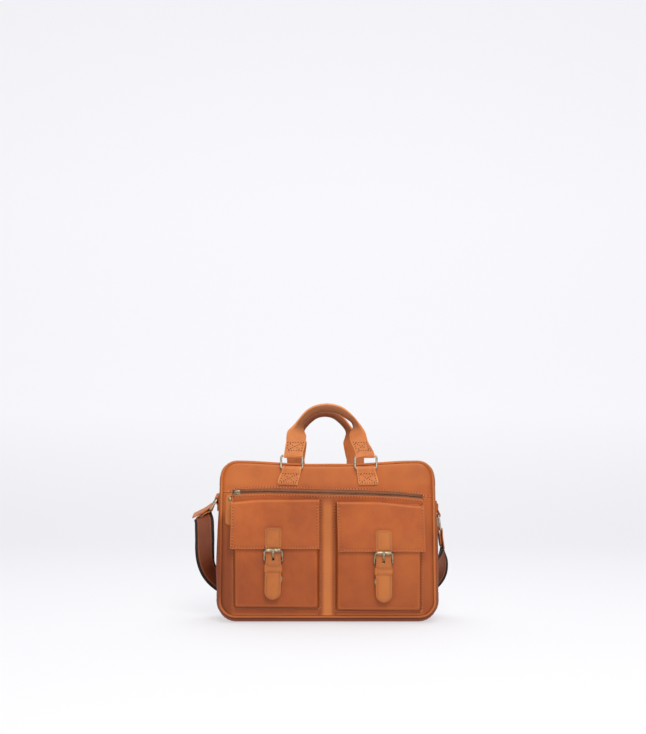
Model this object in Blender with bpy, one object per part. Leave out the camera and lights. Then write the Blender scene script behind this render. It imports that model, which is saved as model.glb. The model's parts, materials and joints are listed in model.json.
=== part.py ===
"""Leather laptop briefcase with two buckled flap pockets, a front zip pocket, two handles and a shoulder strap.

Metres, +Z up. The bag stands on the floor with its front facing -Y. The origin is the middle of its underside.
"""

import math

import bmesh
import bpy
from mathutils import Matrix, Vector

MM = 0.001
GAP = 0.3 * MM

# Body of the bag
RIM_BOTTOM_HALF = 198.5 * MM  # half width along the piping, low down and at the top
RIM_TOP_HALF = 194.5 * MM
RIM_LOW = 12 * MM
RIM_HIGH = 298 * MM
RIM_RADIUS = 28 * MM
FRONT = -52 * MM  # outer face of the front panel
BACK = 52 * MM
PANEL_THICK = 3 * MM
PANEL_INSET = 2.7 * MM
PIPING_R = 2.3 * MM
GUSSET_HALF = 46.7 * MM
GUSSET_THICK = 2.4 * MM
BOTTOM_BULGE = 12 * MM
SIDE_BULGE = 9 * MM
TOP_SAG = -7 * MM
BODY_MIDDLE_Z = 150 * MM
LOW_SEAM = 55 * MM  # where the bottom gusset meets the side gussets
HIGH_SEAM = 252 * MM

# Inside
LINING_HALF = 189 * MM
LINING_LOW = 15 * MM
LINING_TOP = 270 * MM
LINING_FRONT = -36.8 * MM
LINING_BACK = 48.4 * MM
CLOTH = 1 * MM  # how thick the lining is
DIVIDER_Z = 134 * MM

# Front zip, which runs down a little to the right
ZIP_LEFT = Vector((-175 * MM, 0, 242 * MM))
ZIP_RIGHT = Vector((176 * MM, 0, 233.5 * MM))
ZIP_SLOT_HALF = 4.7 * MM
CHAIN_HALF = 2.2 * MM
MAIN_ZIP_HALF = 150 * MM

# Flap pockets
POCKET_NEAR = 16 * MM  # distance from the middle of the bag to a pocket's near side
POCKET_FAR = 171.5 * MM
POCKET_LOW = 30 * MM
POCKET_WALL = 2.4 * MM
POCKET_DEPTH_TOP = 21.5 * MM
POCKET_DEPTH_LOW = 15 * MM
FLAP_TOP = 228.5 * MM
FLAP_LOW = 139 * MM
FLAP_THICK = 2.5 * MM
CREASE_Y = -77 * MM
FLAP_ROOT_Y = FRONT - 1.5 * MM

# Closure strap and buckle
STRAP_CENTRES = {"left": -98.5 * MM, "right": 102 * MM}
STRAP_HALF = 14.8 * MM
STRAP_THICK = 2.6 * MM
STRAP_BACK_Y = CREASE_Y - GAP
STRAP_FRONT_Y = STRAP_BACK_Y - STRAP_THICK
STRAP_TIP = 47 * MM
STRAP_HEAD = 178 * MM
ROLLER_Z = 137 * MM
ROLLER_R = 3.5 * MM
ROLLER_HALF = 12.5 * MM
WIRE_R = 1.8 * MM
HEEL_Z = 116.5 * MM
HEEL_Y = -73.6 * MM
SNAP_Z = 84 * MM
SNAP_SHIFT = 6.3 * MM

# Handles
RING_WIRE_R = 1.9 * MM
RING_HALF = 19.7 * MM  # from a ring's middle to the middle of its side wire
RING_TALL = 24.6 * MM
FRONT_AXIS_Z = 284.7 * MM  # the lower bars of the rings, which turn in their chapes
REAR_AXIS_Z = 268.7 * MM
RING_AXIS_Y = -56.9 * MM
LEATHER = 2.2 * MM
HANDLE_WIDTH = 34.4 * MM
FRONT_CENTRE = 2.5 * MM  # the front handle hangs a little right of the middle, the rear one a little left
REAR_CENTRE = -3 * MM
FRONT_FOOT = 68 * MM
REAR_FOOT = 58 * MM
FRONT_HANDLE_TOP = 397 * MM
REAR_HANDLE_TOP = 392.5 * MM
GRIP_R = 8.2 * MM

# Shoulder strap
SIDE_BAR_X = 207.7 * MM
LEFT_BAR_Z = 231 * MM  # the left tab is turned up, the right one hangs down
RIGHT_BAR_Z = 197 * MM
SIDE_RING_HALF = 21.4 * MM
SIDE_RING_TALL = 27 * MM
WEBBING_WIDTH = 36 * MM
WEBBING_THICK = 1.6 * MM
STRIP_WIDTH = 26 * MM
LEFT_ROLL = math.radians(12)
LEFT_SWING = math.radians(20)
RIGHT_SWING = math.radians(8)
LEFT_LOOP_SWING = math.radians(63)  # the strap's left end loop stands out further than its ring

SIDES = {"left": -1, "right": 1}
RIGHT_DROP = 5 * MM  # the right pocket and flap sit this much lower


# ---------------------------------------------------------------- materials
def material(name, colour, roughness, metallic=0.0):
    made = bpy.data.materials.get(name)
    if made is None:
        made = bpy.data.materials.new(name)
        made.use_nodes = True
        shader = made.node_tree.nodes["Principled BSDF"]
        shader.inputs["Base Color"].default_value = (*colour, 1)
        shader.inputs["Roughness"].default_value = roughness
        shader.inputs["Metallic"].default_value = metallic
    return made


def tan_leather():
    return material("tan_leather", (0.45, 0.13, 0.045), 0.55)


def light_leather():
    return material("light_leather", (0.55, 0.2, 0.075), 0.6)


def antique_metal():
    return material("antique_metal", (0.36, 0.31, 0.22), 0.35, 1.0)


def zip_fabric():
    return material("zip_fabric", (0.07, 0.035, 0.02), 0.8)


def black_webbing():
    return material("black_webbing", (0.018, 0.013, 0.011), 0.85)


def lining_fabric():
    return material("lining_fabric", (0.12, 0.075, 0.045), 0.9)


def board():
    return material("board", (0.2, 0.16, 0.11), 0.9)


# ---------------------------------------------------------------- mesh helpers
def clear_scene():
    for obj in list(bpy.data.objects):
        bpy.data.objects.remove(obj, do_unlink=True)


def pivot(name, at):
    """An empty on a joint's axis, for the pieces that turn about it."""
    empty = bpy.data.objects.new(name, None)
    empty.location = at
    bpy.context.scene.collection.objects.link(empty)
    return empty


def is_bent(face):
    """Whether a face's corners lie off one plane."""
    a, b, c, d = [v.co for v in face.verts]
    normal = (b - a).cross(c - a).normalized()
    return abs(normal.dot(d - a)) > 0.005 * MM


def add(name, vertices, faces, finish, parent=None, smooth=True):
    """A piece from its corners in world space, with its normals facing out."""
    mesh = bpy.data.meshes.new(name)
    mesh.from_pydata([tuple(v) for v in vertices], [], faces)
    work = bmesh.new()
    work.from_mesh(mesh)
    bent = [f for f in work.faces if len(f.verts) == 4 and is_bent(f)]
    bmesh.ops.triangulate(work, faces=bent, quad_method="FIXED")
    bmesh.ops.recalc_face_normals(work, faces=work.faces)
    work.to_mesh(mesh)
    work.free()
    mesh.materials.append(finish)
    obj = bpy.data.objects.new(name, mesh)
    bpy.context.scene.collection.objects.link(obj)
    if smooth:
        mesh.shade_smooth()
        mesh.set_sharp_from_angle(angle=math.radians(35))
    if parent is not None:
        obj.parent = parent
        obj.location = -parent.location
    return obj


def skin(rings, closed=False):
    """Corners and faces of a solid through rings of points, joined end to end or capped."""
    count = len(rings[0])
    vertices = [p for ring in rings for p in ring]
    faces = []
    for i in range(len(rings) if closed else len(rings) - 1):
        here = i * count
        there = (i + 1) % len(rings) * count
        for k in range(count):
            after = (k + 1) % count
            faces.append((here + k, here + after, there + after, there + k))
    if not closed:
        faces.append(tuple(range(count)))
        faces.append(tuple(range(len(vertices) - count, len(vertices))))
    return vertices, faces


def directions(points, closed=False):
    """The path's direction at each of its points."""
    last = len(points) - 1
    found = []
    for i in range(len(points)):
        before = points[i - 1] if closed or i > 0 else points[0]
        after = points[(i + 1) % len(points)] if closed or i < last else points[last]
        found.append((after - before).normalized())
    return found


def sweep(name, points, widths, section, finish, parent=None, closed=False, push=0.0):
    """A section swept along points. widths are the directions of the section's first axis, and
    section(i) gives its corners. push moves the section along its second axis."""
    rings = []
    for i, (point, along) in enumerate(zip(points, directions(points, closed))):
        wide = widths[i] - along * widths[i].dot(along)
        wide.normalize()
        up = along.cross(wide)
        rings.append([point + wide * a + up * (b + push) for a, b in section(i)])
    return add(name, *skin(rings, closed), finish, parent)


def strap_section(width, thick):
    """A flat strap with its long edges slightly rounded."""
    half = width / 2
    rise = thick / 2
    soft = min(rise * 0.8, 0.6 * MM)
    return [
        (-half, -rise + soft),
        (-half + soft, -rise),
        (half - soft, -rise),
        (half, -rise + soft),
        (half, rise - soft),
        (half - soft, rise),
        (-half + soft, rise),
        (-half, rise - soft),
    ]


def ribbon_section(width, thick, columns=4):
    """A thin strap's section with points across its faces, so that the strap can twist evenly."""
    across = [width * (k / columns - 0.5) for k in range(columns + 1)]
    return [(a, -thick / 2) for a in across] + [(a, thick / 2) for a in reversed(across)]


def round_section(radius, count=8):
    return [
        (radius * math.cos(math.tau * k / count), radius * math.sin(math.tau * k / count))
        for k in range(count)
    ]


def arc(centre, radius, start, end, count):
    """Points (a, b) on a circle, from the start angle to the end angle in degrees."""
    angles = [math.radians(start + (end - start) * k / count) for k in range(count + 1)]
    return [(centre[0] + radius * math.cos(a), centre[1] + radius * math.sin(a)) for a in angles]


def rounded_box_outline(half_wide, half_tall, radius, count=3):
    """A rectangle with round corners, anticlockwise about its middle."""
    outline = []
    for corner, (sx, sz) in enumerate(((1, -1), (1, 1), (-1, 1), (-1, -1))):
        centre = (sx * (half_wide - radius), sz * (half_tall - radius))
        outline += arc(centre, radius, 90 * corner - 90, 90 * corner, count)
    return outline


def plate(name, outline, near, far, finish, parent=None, smooth=True):
    """An outline in X and Z, made solid from y = near to y = far."""
    rings = [[Vector((x, y, z)) for x, z in outline] for y in (near, far)]
    return add(name, *skin(rings), finish, parent, smooth)


def block(name, low, high, finish, parent=None):
    outline = [(low[0], low[2]), (high[0], low[2]), (high[0], high[2]), (low[0], high[2])]
    return plate(name, outline, low[1], high[1], finish, parent, smooth=False)


def turned(name, profile, centre, finish, parent=None, count=20, axis="Y"):
    """A solid turned about a line along axis through centre. profile holds (radius, distance along it)."""
    turn = {"X": Matrix.Rotation(math.pi / 2, 3, "Y"), "Y": Matrix.Rotation(-math.pi / 2, 3, "X")}
    turn["Z"] = Matrix.Identity(3)
    rings = [
        [centre + turn[axis] @ Vector((*p, along)) for p in round_section(radius, count)]
        for radius, along in profile
    ]
    return add(name, *skin(rings), finish, parent)


def tube(name, outer, inner, low, high, finish, parent=None, count=16):
    """A sleeve along X between two end points."""
    rings = []
    for radius, x in ((outer, low.x), (outer, high.x), (inner, high.x), (inner, low.x)):
        ring = [Vector((x, low.y + a, low.z + b)) for a, b in round_section(radius, count)]
        rings.append(ring)
    return add(name, *skin(rings, closed=True), finish, parent)


def apply_boolean(obj, other, operation):
    modifier = obj.modifiers.new(operation.lower(), "BOOLEAN")
    modifier.operation = operation
    modifier.solver = "EXACT"
    modifier.object = other
    other.hide_render = True
    other.display_type = "WIRE"


def smooth_path(points, count):
    """count + 1 evenly spaced points on a smooth curve through points."""
    fine = []
    for i in range(len(points) - 1):
        p0 = points[max(i - 1, 0)]
        p1, p2 = points[i], points[i + 1]
        p3 = points[min(i + 2, len(points) - 1)]
        for step in range(20):
            t = step / 20
            blend = 2 * p1 + (p2 - p0) * t + (2 * p0 - 5 * p1 + 4 * p2 - p3) * t * t
            blend += (3 * p1 - p0 - 3 * p2 + p3) * t**3
            fine.append(blend / 2)
    fine.append(points[-1])
    lengths = [0.0]
    for a, b in zip(fine, fine[1:]):
        lengths.append(lengths[-1] + (b - a).length)
    even = []
    at = 0
    for k in range(count + 1):
        goal = lengths[-1] * k / count
        while at < len(fine) - 2 and lengths[at + 1] < goal:
            at += 1
        share = (goal - lengths[at]) / max(lengths[at + 1] - lengths[at], 1e-9)
        even.append(fine[at].lerp(fine[at + 1], min(max(share, 0), 1)))
    return even


# ---------------------------------------------------------------- body shell
def rim_half(z):
    """Half width of the rim at a height on its straight sides."""
    share = (z - RIM_LOW) / (RIM_HIGH - RIM_LOW)
    return RIM_BOTTOM_HALF + (RIM_TOP_HALF - RIM_BOTTOM_HALF) * share


def rim_corner(side, high, angles):
    """Rim points round a corner, as (x, z, outward x, outward z)."""
    half = (RIM_TOP_HALF if high else RIM_BOTTOM_HALF) - RIM_RADIUS
    level = RIM_HIGH - RIM_RADIUS if high else RIM_LOW + RIM_RADIUS
    found = []
    for degrees in angles:
        a = math.radians(degrees)
        nx, nz = side * math.cos(a), math.sin(a)
        found.append((side * half + RIM_RADIUS * nx, level + RIM_RADIUS * nz, nx, nz))
    return found


def body_outline(inset):
    """The bag's front outline, moved inwards, anticlockwise seen from the front."""
    steps = [15 * k for k in range(7)]
    around = rim_corner(1, False, [a - 90 for a in steps]) + rim_corner(1, True, steps)
    around += rim_corner(-1, True, steps[::-1])
    around += rim_corner(-1, False, [-a for a in steps])
    return [(x - nx * inset, z - nz * inset) for x, z, nx, nz in around]


def band(name, stations, bulges, finish, slot=None):
    """A gusset: a bulging strip of leather between the front and back rims. stations are rim points, and
    bulges how far its middle stands out at each. slot is the range of station numbers that is left open."""
    columns = [(-GUSSET_HALF, 0), (-42 * MM, 0.62), (-34 * MM, 1), (-6.2 * MM, 1)]
    columns += [(-y, share) for y, share in reversed(columns)]
    count = len(columns)
    vertices = []
    for offset in (0, -GUSSET_THICK):
        for (x, z, nx, nz), bulge in zip(stations, bulges):
            for y, share in columns:
                out = bulge * share + offset
                vertices.append(Vector((x + nx * out, y, z + nz * out)))
    inner = len(stations) * count
    edges = {}
    faces = []
    for i in range(len(stations) - 1):
        for k in range(count - 1):
            if slot and slot[0] <= i < slot[1] and k == count // 2 - 1:
                continue
            a = i * count + k
            quad = (a, a + 1, a + count + 1, a + count)
            faces.append(quad)
            faces.append(tuple(v + inner for v in reversed(quad)))
            for p, q in zip(quad, quad[1:] + quad[:1]):
                edges[p, q] = True
    for p, q in edges:
        if (q, p) not in edges:
            faces.append((q, p, p + inner, q + inner))
    return add(name, vertices, faces, finish)


def side_stations(side, levels):
    return [(side * rim_half(z), z, side, 0.0) for z in levels]


def side_bulge(z):
    """How far a side gusset stands out at a height."""
    share = (z - RIM_LOW) / (RIM_HIGH - RIM_LOW)
    swell = [(0, 0.78), (0.3, 1.1), (0.55, 1.0), (0.7, 0.68), (1, 0.45)]
    for (low, start), (high, end) in zip(swell, swell[1:]):
        if share <= high:
            return SIDE_BULGE * (start + (end - start) * (share - low) / (high - low))
    return SIDE_BULGE * swell[-1][1]


def make_gussets(finish):
    steps = [15 * k for k in range(7)]
    seam = LOW_SEAM - GAP / 2
    right = rim_corner(1, False, [a - 90 for a in steps]) + side_stations(1, [seam])
    swell = [BOTTOM_BULGE + (side_bulge(LOW_SEAM) - BOTTOM_BULGE) * k / 6 for k in range(7)]
    swell.append(side_bulge(seam))
    left = [(-x, z, -nx, nz) for x, z, nx, nz in reversed(right)]
    band("bottom_gusset", left + right, swell[::-1] + swell, finish)
    for name, side in SIDES.items():
        low, high = LOW_SEAM + GAP / 2, HIGH_SEAM - GAP / 2
        levels = [low + (high - low) * k / 8 for k in range(9)]
        band(f"{name}_gusset", side_stations(side, levels), [side_bulge(z) for z in levels], finish)
    rise = side_stations(1, [HIGH_SEAM + GAP / 2]) + rim_corner(1, True, steps)
    sag = [side_bulge(HIGH_SEAM) * (1 - k / 7) for k in range(8)]
    flat = [(x, RIM_HIGH, 0.0, 1.0) for x in (MAIN_ZIP_HALF + 4 * MM, MAIN_ZIP_HALF)]
    rise += flat
    sag += [TOP_SAG, TOP_SAG]
    fall = [(-x, z, -nx, nz) for x, z, nx, nz in reversed(rise)]
    open_from = len(rise) - 1
    band("top_gusset", rise + fall, sag + sag[::-1], finish, slot=(open_from, open_from + 1))


def make_piping(finish):
    outline = body_outline(0)
    for name, y in (("front_piping", FRONT + 2.5 * MM), ("rear_piping", BACK - 2.5 * MM)):
        points = [Vector((x, y, z)) for x, z in outline]
        across = [Vector((0, 1, 0))] * len(points)
        sweep(name, points, across, lambda i: round_section(PIPING_R, 6), finish, closed=True)


def zip_height(x, off=0.0):
    share = (x - ZIP_LEFT.x) / (ZIP_RIGHT.x - ZIP_LEFT.x)
    return ZIP_LEFT.z + (ZIP_RIGHT.z - ZIP_LEFT.z) * share + off


def make_panels(finish):
    outline = body_outline(PANEL_INSET)
    edge = rim_half(zip_height(0)) - PANEL_INSET
    ends = [ZIP_LEFT.x - 1 * MM, ZIP_RIGHT.x + 1 * MM]
    seam = GAP / 2
    lower = [p for p in outline if p[1] < BODY_MIDDLE_Z]
    start = next(i for i, p in enumerate(lower) if p[0] < 0)
    lower = lower[start:] + lower[:start]
    lower += [(edge, zip_height(edge, -seam)), (ends[1], zip_height(ends[1], -seam))]
    lower += [(x, zip_height(x, -ZIP_SLOT_HALF)) for x in reversed(ends)]
    lower += [(ends[0], zip_height(ends[0], -seam)), (-edge, zip_height(-edge, -seam))]
    plate("front_panel", lower, FRONT, FRONT + PANEL_THICK, finish)
    upper = [p for p in outline if p[1] > BODY_MIDDLE_Z]
    upper += [(-edge, zip_height(-edge, seam)), (ends[0], zip_height(ends[0], seam))]
    upper += [(x, zip_height(x, ZIP_SLOT_HALF)) for x in ends]
    upper += [(ends[1], zip_height(ends[1], seam)), (edge, zip_height(edge, seam))]
    plate("front_panel_top", upper, FRONT, FRONT + PANEL_THICK, finish)
    plate("back_panel", outline, BACK - PANEL_THICK, BACK, finish)


# ---------------------------------------------------------------- inside
def make_inside():
    cloth = lining_fabric()
    radius = 24 * MM

    def tub(inset, rise):
        half, low = LINING_HALF - inset, LINING_LOW + inset
        outline = arc((half - radius, low + radius), radius, -90, 0, 4)
        outline += [(half, LINING_TOP + rise), (-half, LINING_TOP + rise)]
        return outline + arc((-half + radius, low + radius), radius, 180, 270, 4)

    lining = plate("lining", tub(0, 0), LINING_FRONT, LINING_BACK, cloth)
    hollow = plate("lining_hollow", tub(CLOTH, 5 * MM), LINING_FRONT + CLOTH, LINING_BACK - CLOTH, cloth)
    apply_boolean(lining, hollow, "DIFFERENCE")
    block("base_board", (-165 * MM, -33 * MM, 2.8 * MM), (165 * MM, 33 * MM, 5.6 * MM), board())
    divider = [(x, z + DIVIDER_Z) for x, z in rounded_box_outline(184 * MM, 117 * MM, 22 * MM)]
    plate("laptop_divider", divider, 20 * MM, 26 * MM, cloth)
    half, low, top = 168 * MM, 62 * MM, 222 * MM
    near, far = -47.4 * MM, -38 * MM
    bag = block("front_zip_pocket_bag", (-half, near, low), (half, far, top), cloth)
    inner_low, inner_high = (-half + CLOTH, near + CLOTH, low + CLOTH), (half - CLOTH, far - CLOTH, top + 8 * MM)
    inside = block("pocket_bag_hollow", inner_low, inner_high, cloth)
    apply_boolean(bag, inside, "DIFFERENCE")


# ---------------------------------------------------------------- zips
def front_zip_frame():
    """The front zip's direction, and the way up across it."""
    along = (ZIP_RIGHT - ZIP_LEFT).normalized()
    return along, Vector((-along.z, 0, along.x))


def slot_plate(name, outer, inner, finish):
    """A plate with a long slot, from its outer and inner corners in the same order."""
    rings = [outer[0], outer[1], inner[1], inner[0]]
    vertices, faces = skin(rings, closed=True)
    return add(name, vertices, faces, finish, smooth=False)


def make_front_zip():
    along, up = front_zip_frame()
    cloth = zip_fabric()
    metal = antique_metal()

    def frame_corners(end, half, y):
        low, high = ZIP_LEFT - along * end, ZIP_RIGHT + along * end
        ring = (low - up * half, high - up * half, high + up * half, low + up * half)
        return [p + Vector((0, y, 0)) for p in ring]

    rear, front = FRONT + PANEL_THICK + 1.1 * MM, FRONT + PANEL_THICK + GAP
    outer = [frame_corners(9 * MM, 12 * MM, y) for y in (front, rear)]
    inner = [frame_corners(0.5 * MM, CHAIN_HALF + GAP, y) for y in (front, rear)]
    slot_plate("front_zip_tape", outer, inner, cloth)
    chain = [frame_corners(0, CHAIN_HALF, y) for y in (FRONT + 2 * MM, rear)]
    add("front_zip_chain", *skin(chain), metal, smooth=False)
    slide = pivot("front_zip_slide", ZIP_LEFT + Vector((0, FRONT, 0)))
    make_slider("front_zip_slider", ZIP_LEFT + along * 9 * MM, along, up, FRONT + 1.7 * MM, metal, slide)
    make_front_pull(slide)


def make_slider(name, at, along, up, face, metal, parent):
    """A slider's upper body with its bridge, standing on its tape's outer side at y = face."""
    out = Vector((0, -1, 0))
    base = Vector((at.x, face, at.z))
    profile = [(-5.5, 0.0), (5.5, 0.0), (5.5, 1.4), (2.5, 1.7), (1.5, 3.4), (-4.2, 3.4), (-4.6, 1.6), (-5.5, 1.4)]
    widths = [4.2, 4.2, 4.0, 1.6, 1.2, 1.2, 1.6, 4.0]
    rings = []
    for side in (-1, 1):
        ring = []
        for (a, b), wide in zip(profile, widths):
            ring.append(base + along * a * MM + out * b * MM + up * side * wide * MM)
        rings.append(ring)
    return add(name, *skin(rings), metal, parent)


def make_front_pull(slide):
    """The leather pull, hung from the slider and held by a rivet."""
    centre_x, top, low, half = -179.9 * MM, 237.5 * MM, 181 * MM, 7.5 * MM
    near, far = -55.3 * MM, -52.5 * MM
    hinge = pivot("front_zip_pull_hinge", Vector((centre_x, -54 * MM, top - 1 * MM)))
    outline = arc((centre_x, low + half), half, 180, 360, 8)
    outline += [(centre_x + half * 0.9, top - 9 * MM), (centre_x + half * 0.55, top)]
    outline += [(centre_x - half * 0.55, top), (centre_x - half * 0.9, top - 9 * MM)]
    pull = plate("front_zip_pull", outline, near, far, light_leather(), hinge)
    hole_at = Vector((centre_x + 1 * MM, 0, 229 * MM))
    drill = turned("pull_drill", [(1.7 * MM, -60 * MM), (1.7 * MM, -50 * MM)], hole_at, antique_metal())
    drill.parent = hinge
    drill.location = -hinge.location
    apply_boolean(pull, drill, "DIFFERENCE")
    spool = [(2.6, -57.0), (4.0, -56.4), (4.0, -55.6), (1.4, -55.6), (1.4, -52.4)]
    profile = [(r * MM, y * MM) for r, y in spool]
    turned("front_zip_pull_rivet", profile, hole_at, antique_metal(), hinge, count=14)


def make_main_zip():
    """The zip along the top: chain on its tapes, slider and leather pull lying along it."""
    metal = antique_metal()
    level = RIM_HIGH + TOP_SAG - GUSSET_THICK - GAP
    half = MAIN_ZIP_HALF - GAP
    profile = [(-15, -1), (15, -1), (15, 0), (2.2, 0), (2.2, 1.6), (-2.2, 1.6), (-2.2, 0), (-15, 0)]
    rings = [[Vector((x, a * MM, level + b * MM)) for a, b in profile] for x in (-half, half)]
    add("main_zip_chain", *skin(rings), zip_fabric(), smooth=False)
    slide = pivot("main_zip_slide", Vector((-half + 8 * MM, 0, level + 2 * MM)))
    base = level + 2 * MM
    profile = [(-5.5, 0.0), (5.5, 0.0), (5.5, 1.4), (2.5, 1.7), (1.5, 3.6), (-4.2, 3.6), (-4.6, 1.6), (-5.5, 1.4)]
    widths = [4.2, 4.2, 4.0, 1.6, 1.2, 1.2, 1.6, 4.0]
    centre = -half + 8 * MM
    rings = []
    for side in (-1, 1):
        ring = [(centre + a * MM, side * w * MM, base + b * MM) for (a, b), w in zip(profile, widths)]
        rings.append([Vector(p) for p in ring])
    add("main_zip_slider", *skin(rings), metal, slide)
    hinge = pivot("main_zip_pull_hinge", Vector((centre + 6 * MM, 0, base + 3 * MM)))
    reach = centre + 6 * MM
    outline = [(reach, -3 * MM), (reach + 8 * MM, -6.5 * MM), (reach + 40 * MM, -6.5 * MM)]
    outline += arc((reach + 40 * MM, 0), 6.5 * MM, -60, 60, 4)
    outline += [(reach + 40 * MM, 6.5 * MM), (reach + 8 * MM, 6.5 * MM), (reach, 3 * MM)]
    rings = [[Vector((x, y, base + z * MM)) for x, y in outline] for z in (1.7, 3.7)]
    add("main_zip_pull", *skin(rings), light_leather(), hinge)


# ---------------------------------------------------------------- flap pockets
def make_pocket(side_name, side, drop):
    """A box pocket with its back open towards the front panel and its top open."""
    leather = tan_leather()
    low, top = POCKET_LOW - drop, FLAP_TOP - FLAP_THICK - 0.8 * MM - drop
    chamfer = 5 * MM

    def level(z, depth, inset):
        near, far = POCKET_NEAR + inset, POCKET_FAR - inset
        back = FRONT - GAP + (inset and 2 * MM)
        front = FRONT - depth + inset
        cut = chamfer - inset * 0.6
        ring = [(near, back), (near, front + cut), (near + cut, front), (far - cut, front)]
        ring += [(far, front + cut), (far, back)]
        return [Vector((side * x, y, z)) for x, y in ring]

    outer = [level(low, POCKET_DEPTH_LOW, 0), level(top, POCKET_DEPTH_TOP, 0)]
    pocket = add(f"pocket_{side_name}", *skin(outer), leather)
    inner = [
        level(low + POCKET_WALL, POCKET_DEPTH_LOW, POCKET_WALL),
        level(top + 4 * MM, POCKET_DEPTH_TOP, POCKET_WALL),
    ]
    hollow = add(f"pocket_{side_name}_hollow", *skin(inner), leather)
    apply_boolean(pocket, hollow, "DIFFERENCE")


def make_flap(side_name, side, drop):
    """The leather flap: a strip that is sewn on above the pocket, and the part that hangs from its crease."""
    leather = tan_leather()
    top = FLAP_TOP - drop
    root = pivot(f"flap_{side_name}_hinge", Vector((0, FLAP_ROOT_Y, top)))
    crease = pivot(f"flap_{side_name}_crease", Vector((0, CREASE_Y, top)))
    near, far = POCKET_NEAR + (1 * MM if side > 0 else -1 * MM), POCKET_FAR
    low = Vector((min(side * near, side * far), CREASE_Y, top - FLAP_THICK))
    high = Vector((max(side * near, side * far), FLAP_ROOT_Y, top))
    block(f"flap_fold_{side_name}", low, high, leather, root)
    flare = 6 * MM if side < 0 else 7 * MM
    outer_low = far + flare
    outer_top = far + flare * 0.6
    inner_low = near + (2.5 * MM if side > 0 else 0)
    hang = top - FLAP_THICK - GAP
    outline = [(side * inner_low, FLAP_LOW - drop), (side * outer_low, FLAP_LOW - drop)]
    outline += [(side * outer_top, hang), (side * near, hang)]
    if side < 0:
        outline.reverse()
    plate(f"flap_{side_name}", outline, CREASE_Y, CREASE_Y + FLAP_THICK, leather, crease, smooth=False)
    return crease


def make_closure(side_name, centre, drop, crease, towards_middle):
    """The strap sewn on a flap, with its roller buckle, keeper and magnetic snap."""
    leather, metal = light_leather(), antique_metal()
    tip = STRAP_TIP - drop
    outline = arc((centre, tip + STRAP_HALF), STRAP_HALF, 180, 360, 10)
    corner = 4 * MM
    outline += [(centre + STRAP_HALF, STRAP_HEAD - drop - corner)]
    outline += [(centre + STRAP_HALF - corner, STRAP_HEAD - drop)]
    outline += [(centre - STRAP_HALF + corner, STRAP_HEAD - drop)]
    outline += [(centre - STRAP_HALF, STRAP_HEAD - drop - corner)]
    strap = plate(f"closure_strap_{side_name}", outline, STRAP_FRONT_Y, STRAP_BACK_Y, leather, crease)
    low, high = HEEL_Z - 3.3 * MM - drop, HEEL_Z + 9 * MM - drop
    hole = block(
        f"strap_hole_{side_name}",
        (centre - 2.9 * MM, STRAP_FRONT_Y - 5 * MM, low),
        (centre + 2.9 * MM, STRAP_BACK_Y + 5 * MM, high),
        leather,
        crease,
    )
    apply_boolean(strap, hole, "DIFFERENCE")
    make_buckle(side_name, centre, drop, crease, metal)
    keep_low, keep_high = 97 * MM - drop, 110 * MM - drop
    middle_y = (STRAP_FRONT_Y + STRAP_BACK_Y) / 2
    reach = STRAP_THICK / 2 + GAP
    shapes = []
    for extra in (1.5 * MM, 0):
        shape = rounded_box_outline(STRAP_HALF + GAP + extra, reach + extra, 0.15 * MM + extra, 2)
        shapes.append(shape)
    rings = []
    for shape, z in ((0, keep_low), (0, keep_high), (1, keep_high), (1, keep_low)):
        rings.append([Vector((centre + x, middle_y + y, z)) for x, y in shapes[shape]])
    add(f"strap_keeper_{side_name}", *skin(rings, closed=True), leather, crease)
    at = Vector((centre + towards_middle * SNAP_SHIFT, 0, SNAP_Z - drop))
    male = [(8.6, -77.0), (10, -76.6), (10, -75.0), (3.2, -74.6), (3.0, -73.4)]
    female = [(8.6, -73.1), (10, -72.7), (10, -70.0), (9.6, -69.6)]
    turned(f"snap_male_{side_name}", [(r * MM, y * MM) for r, y in male], at, metal, crease)
    turned(f"snap_female_{side_name}", [(r * MM, y * MM) for r, y in female], at, metal)


def make_buckle(side_name, centre, drop, crease, metal):
    """A bent-wire frame with a roller on its upper bar and a prong on its heel bar."""
    roller_y = STRAP_FRONT_Y - 0.4 * MM - ROLLER_R
    roller_z, heel_z = ROLLER_Z - drop, HEEL_Z - drop
    top_half, low_half = 17.2 * MM, 18.2 * MM
    corner = 3.2 * MM
    lean = Vector((0, HEEL_Y - roller_y, heel_z - roller_z)).normalized()
    top, heel = Vector((centre, roller_y, roller_z)), Vector((centre, HEEL_Y, heel_z))
    bends = []
    for point, half, inward in ((top, top_half, lean), (heel, low_half, -lean)):
        for turn in ([-1, 1] if point is top else [1, -1]):
            middle = point + Vector((turn * (half - corner), 0, 0)) + inward * corner
            first = Vector((turn, 0, 0)) if point is heel else -inward
            second = -inward if point is heel else Vector((turn, 0, 0))
            angles = [math.radians(22.5 * k) for k in range(5)]
            bend = [middle + corner * (first * math.cos(a) + second * math.sin(a)) for a in angles]
            bends.append(bend if turn > 0 else bend[::-1])
    points = [p for bend in bends for p in bend]
    normal = Vector((1, 0, 0)).cross(lean).normalized()
    across = [normal] * len(points)
    sweep(f"buckle_frame_{side_name}", points, across, lambda i: round_section(WIRE_R), metal, crease, True)
    spin = pivot(f"buckle_roller_{side_name}_spin", top)
    half = Vector((ROLLER_HALF, 0, 0))
    tube(f"buckle_roller_{side_name}", ROLLER_R, WIRE_R + 0.35 * MM, top - half, top + half, metal, spin)
    turn = pivot(f"buckle_prong_{side_name}_hinge", heel)
    make_prong(f"buckle_prong_{side_name}", heel, top, metal, turn)


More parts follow.
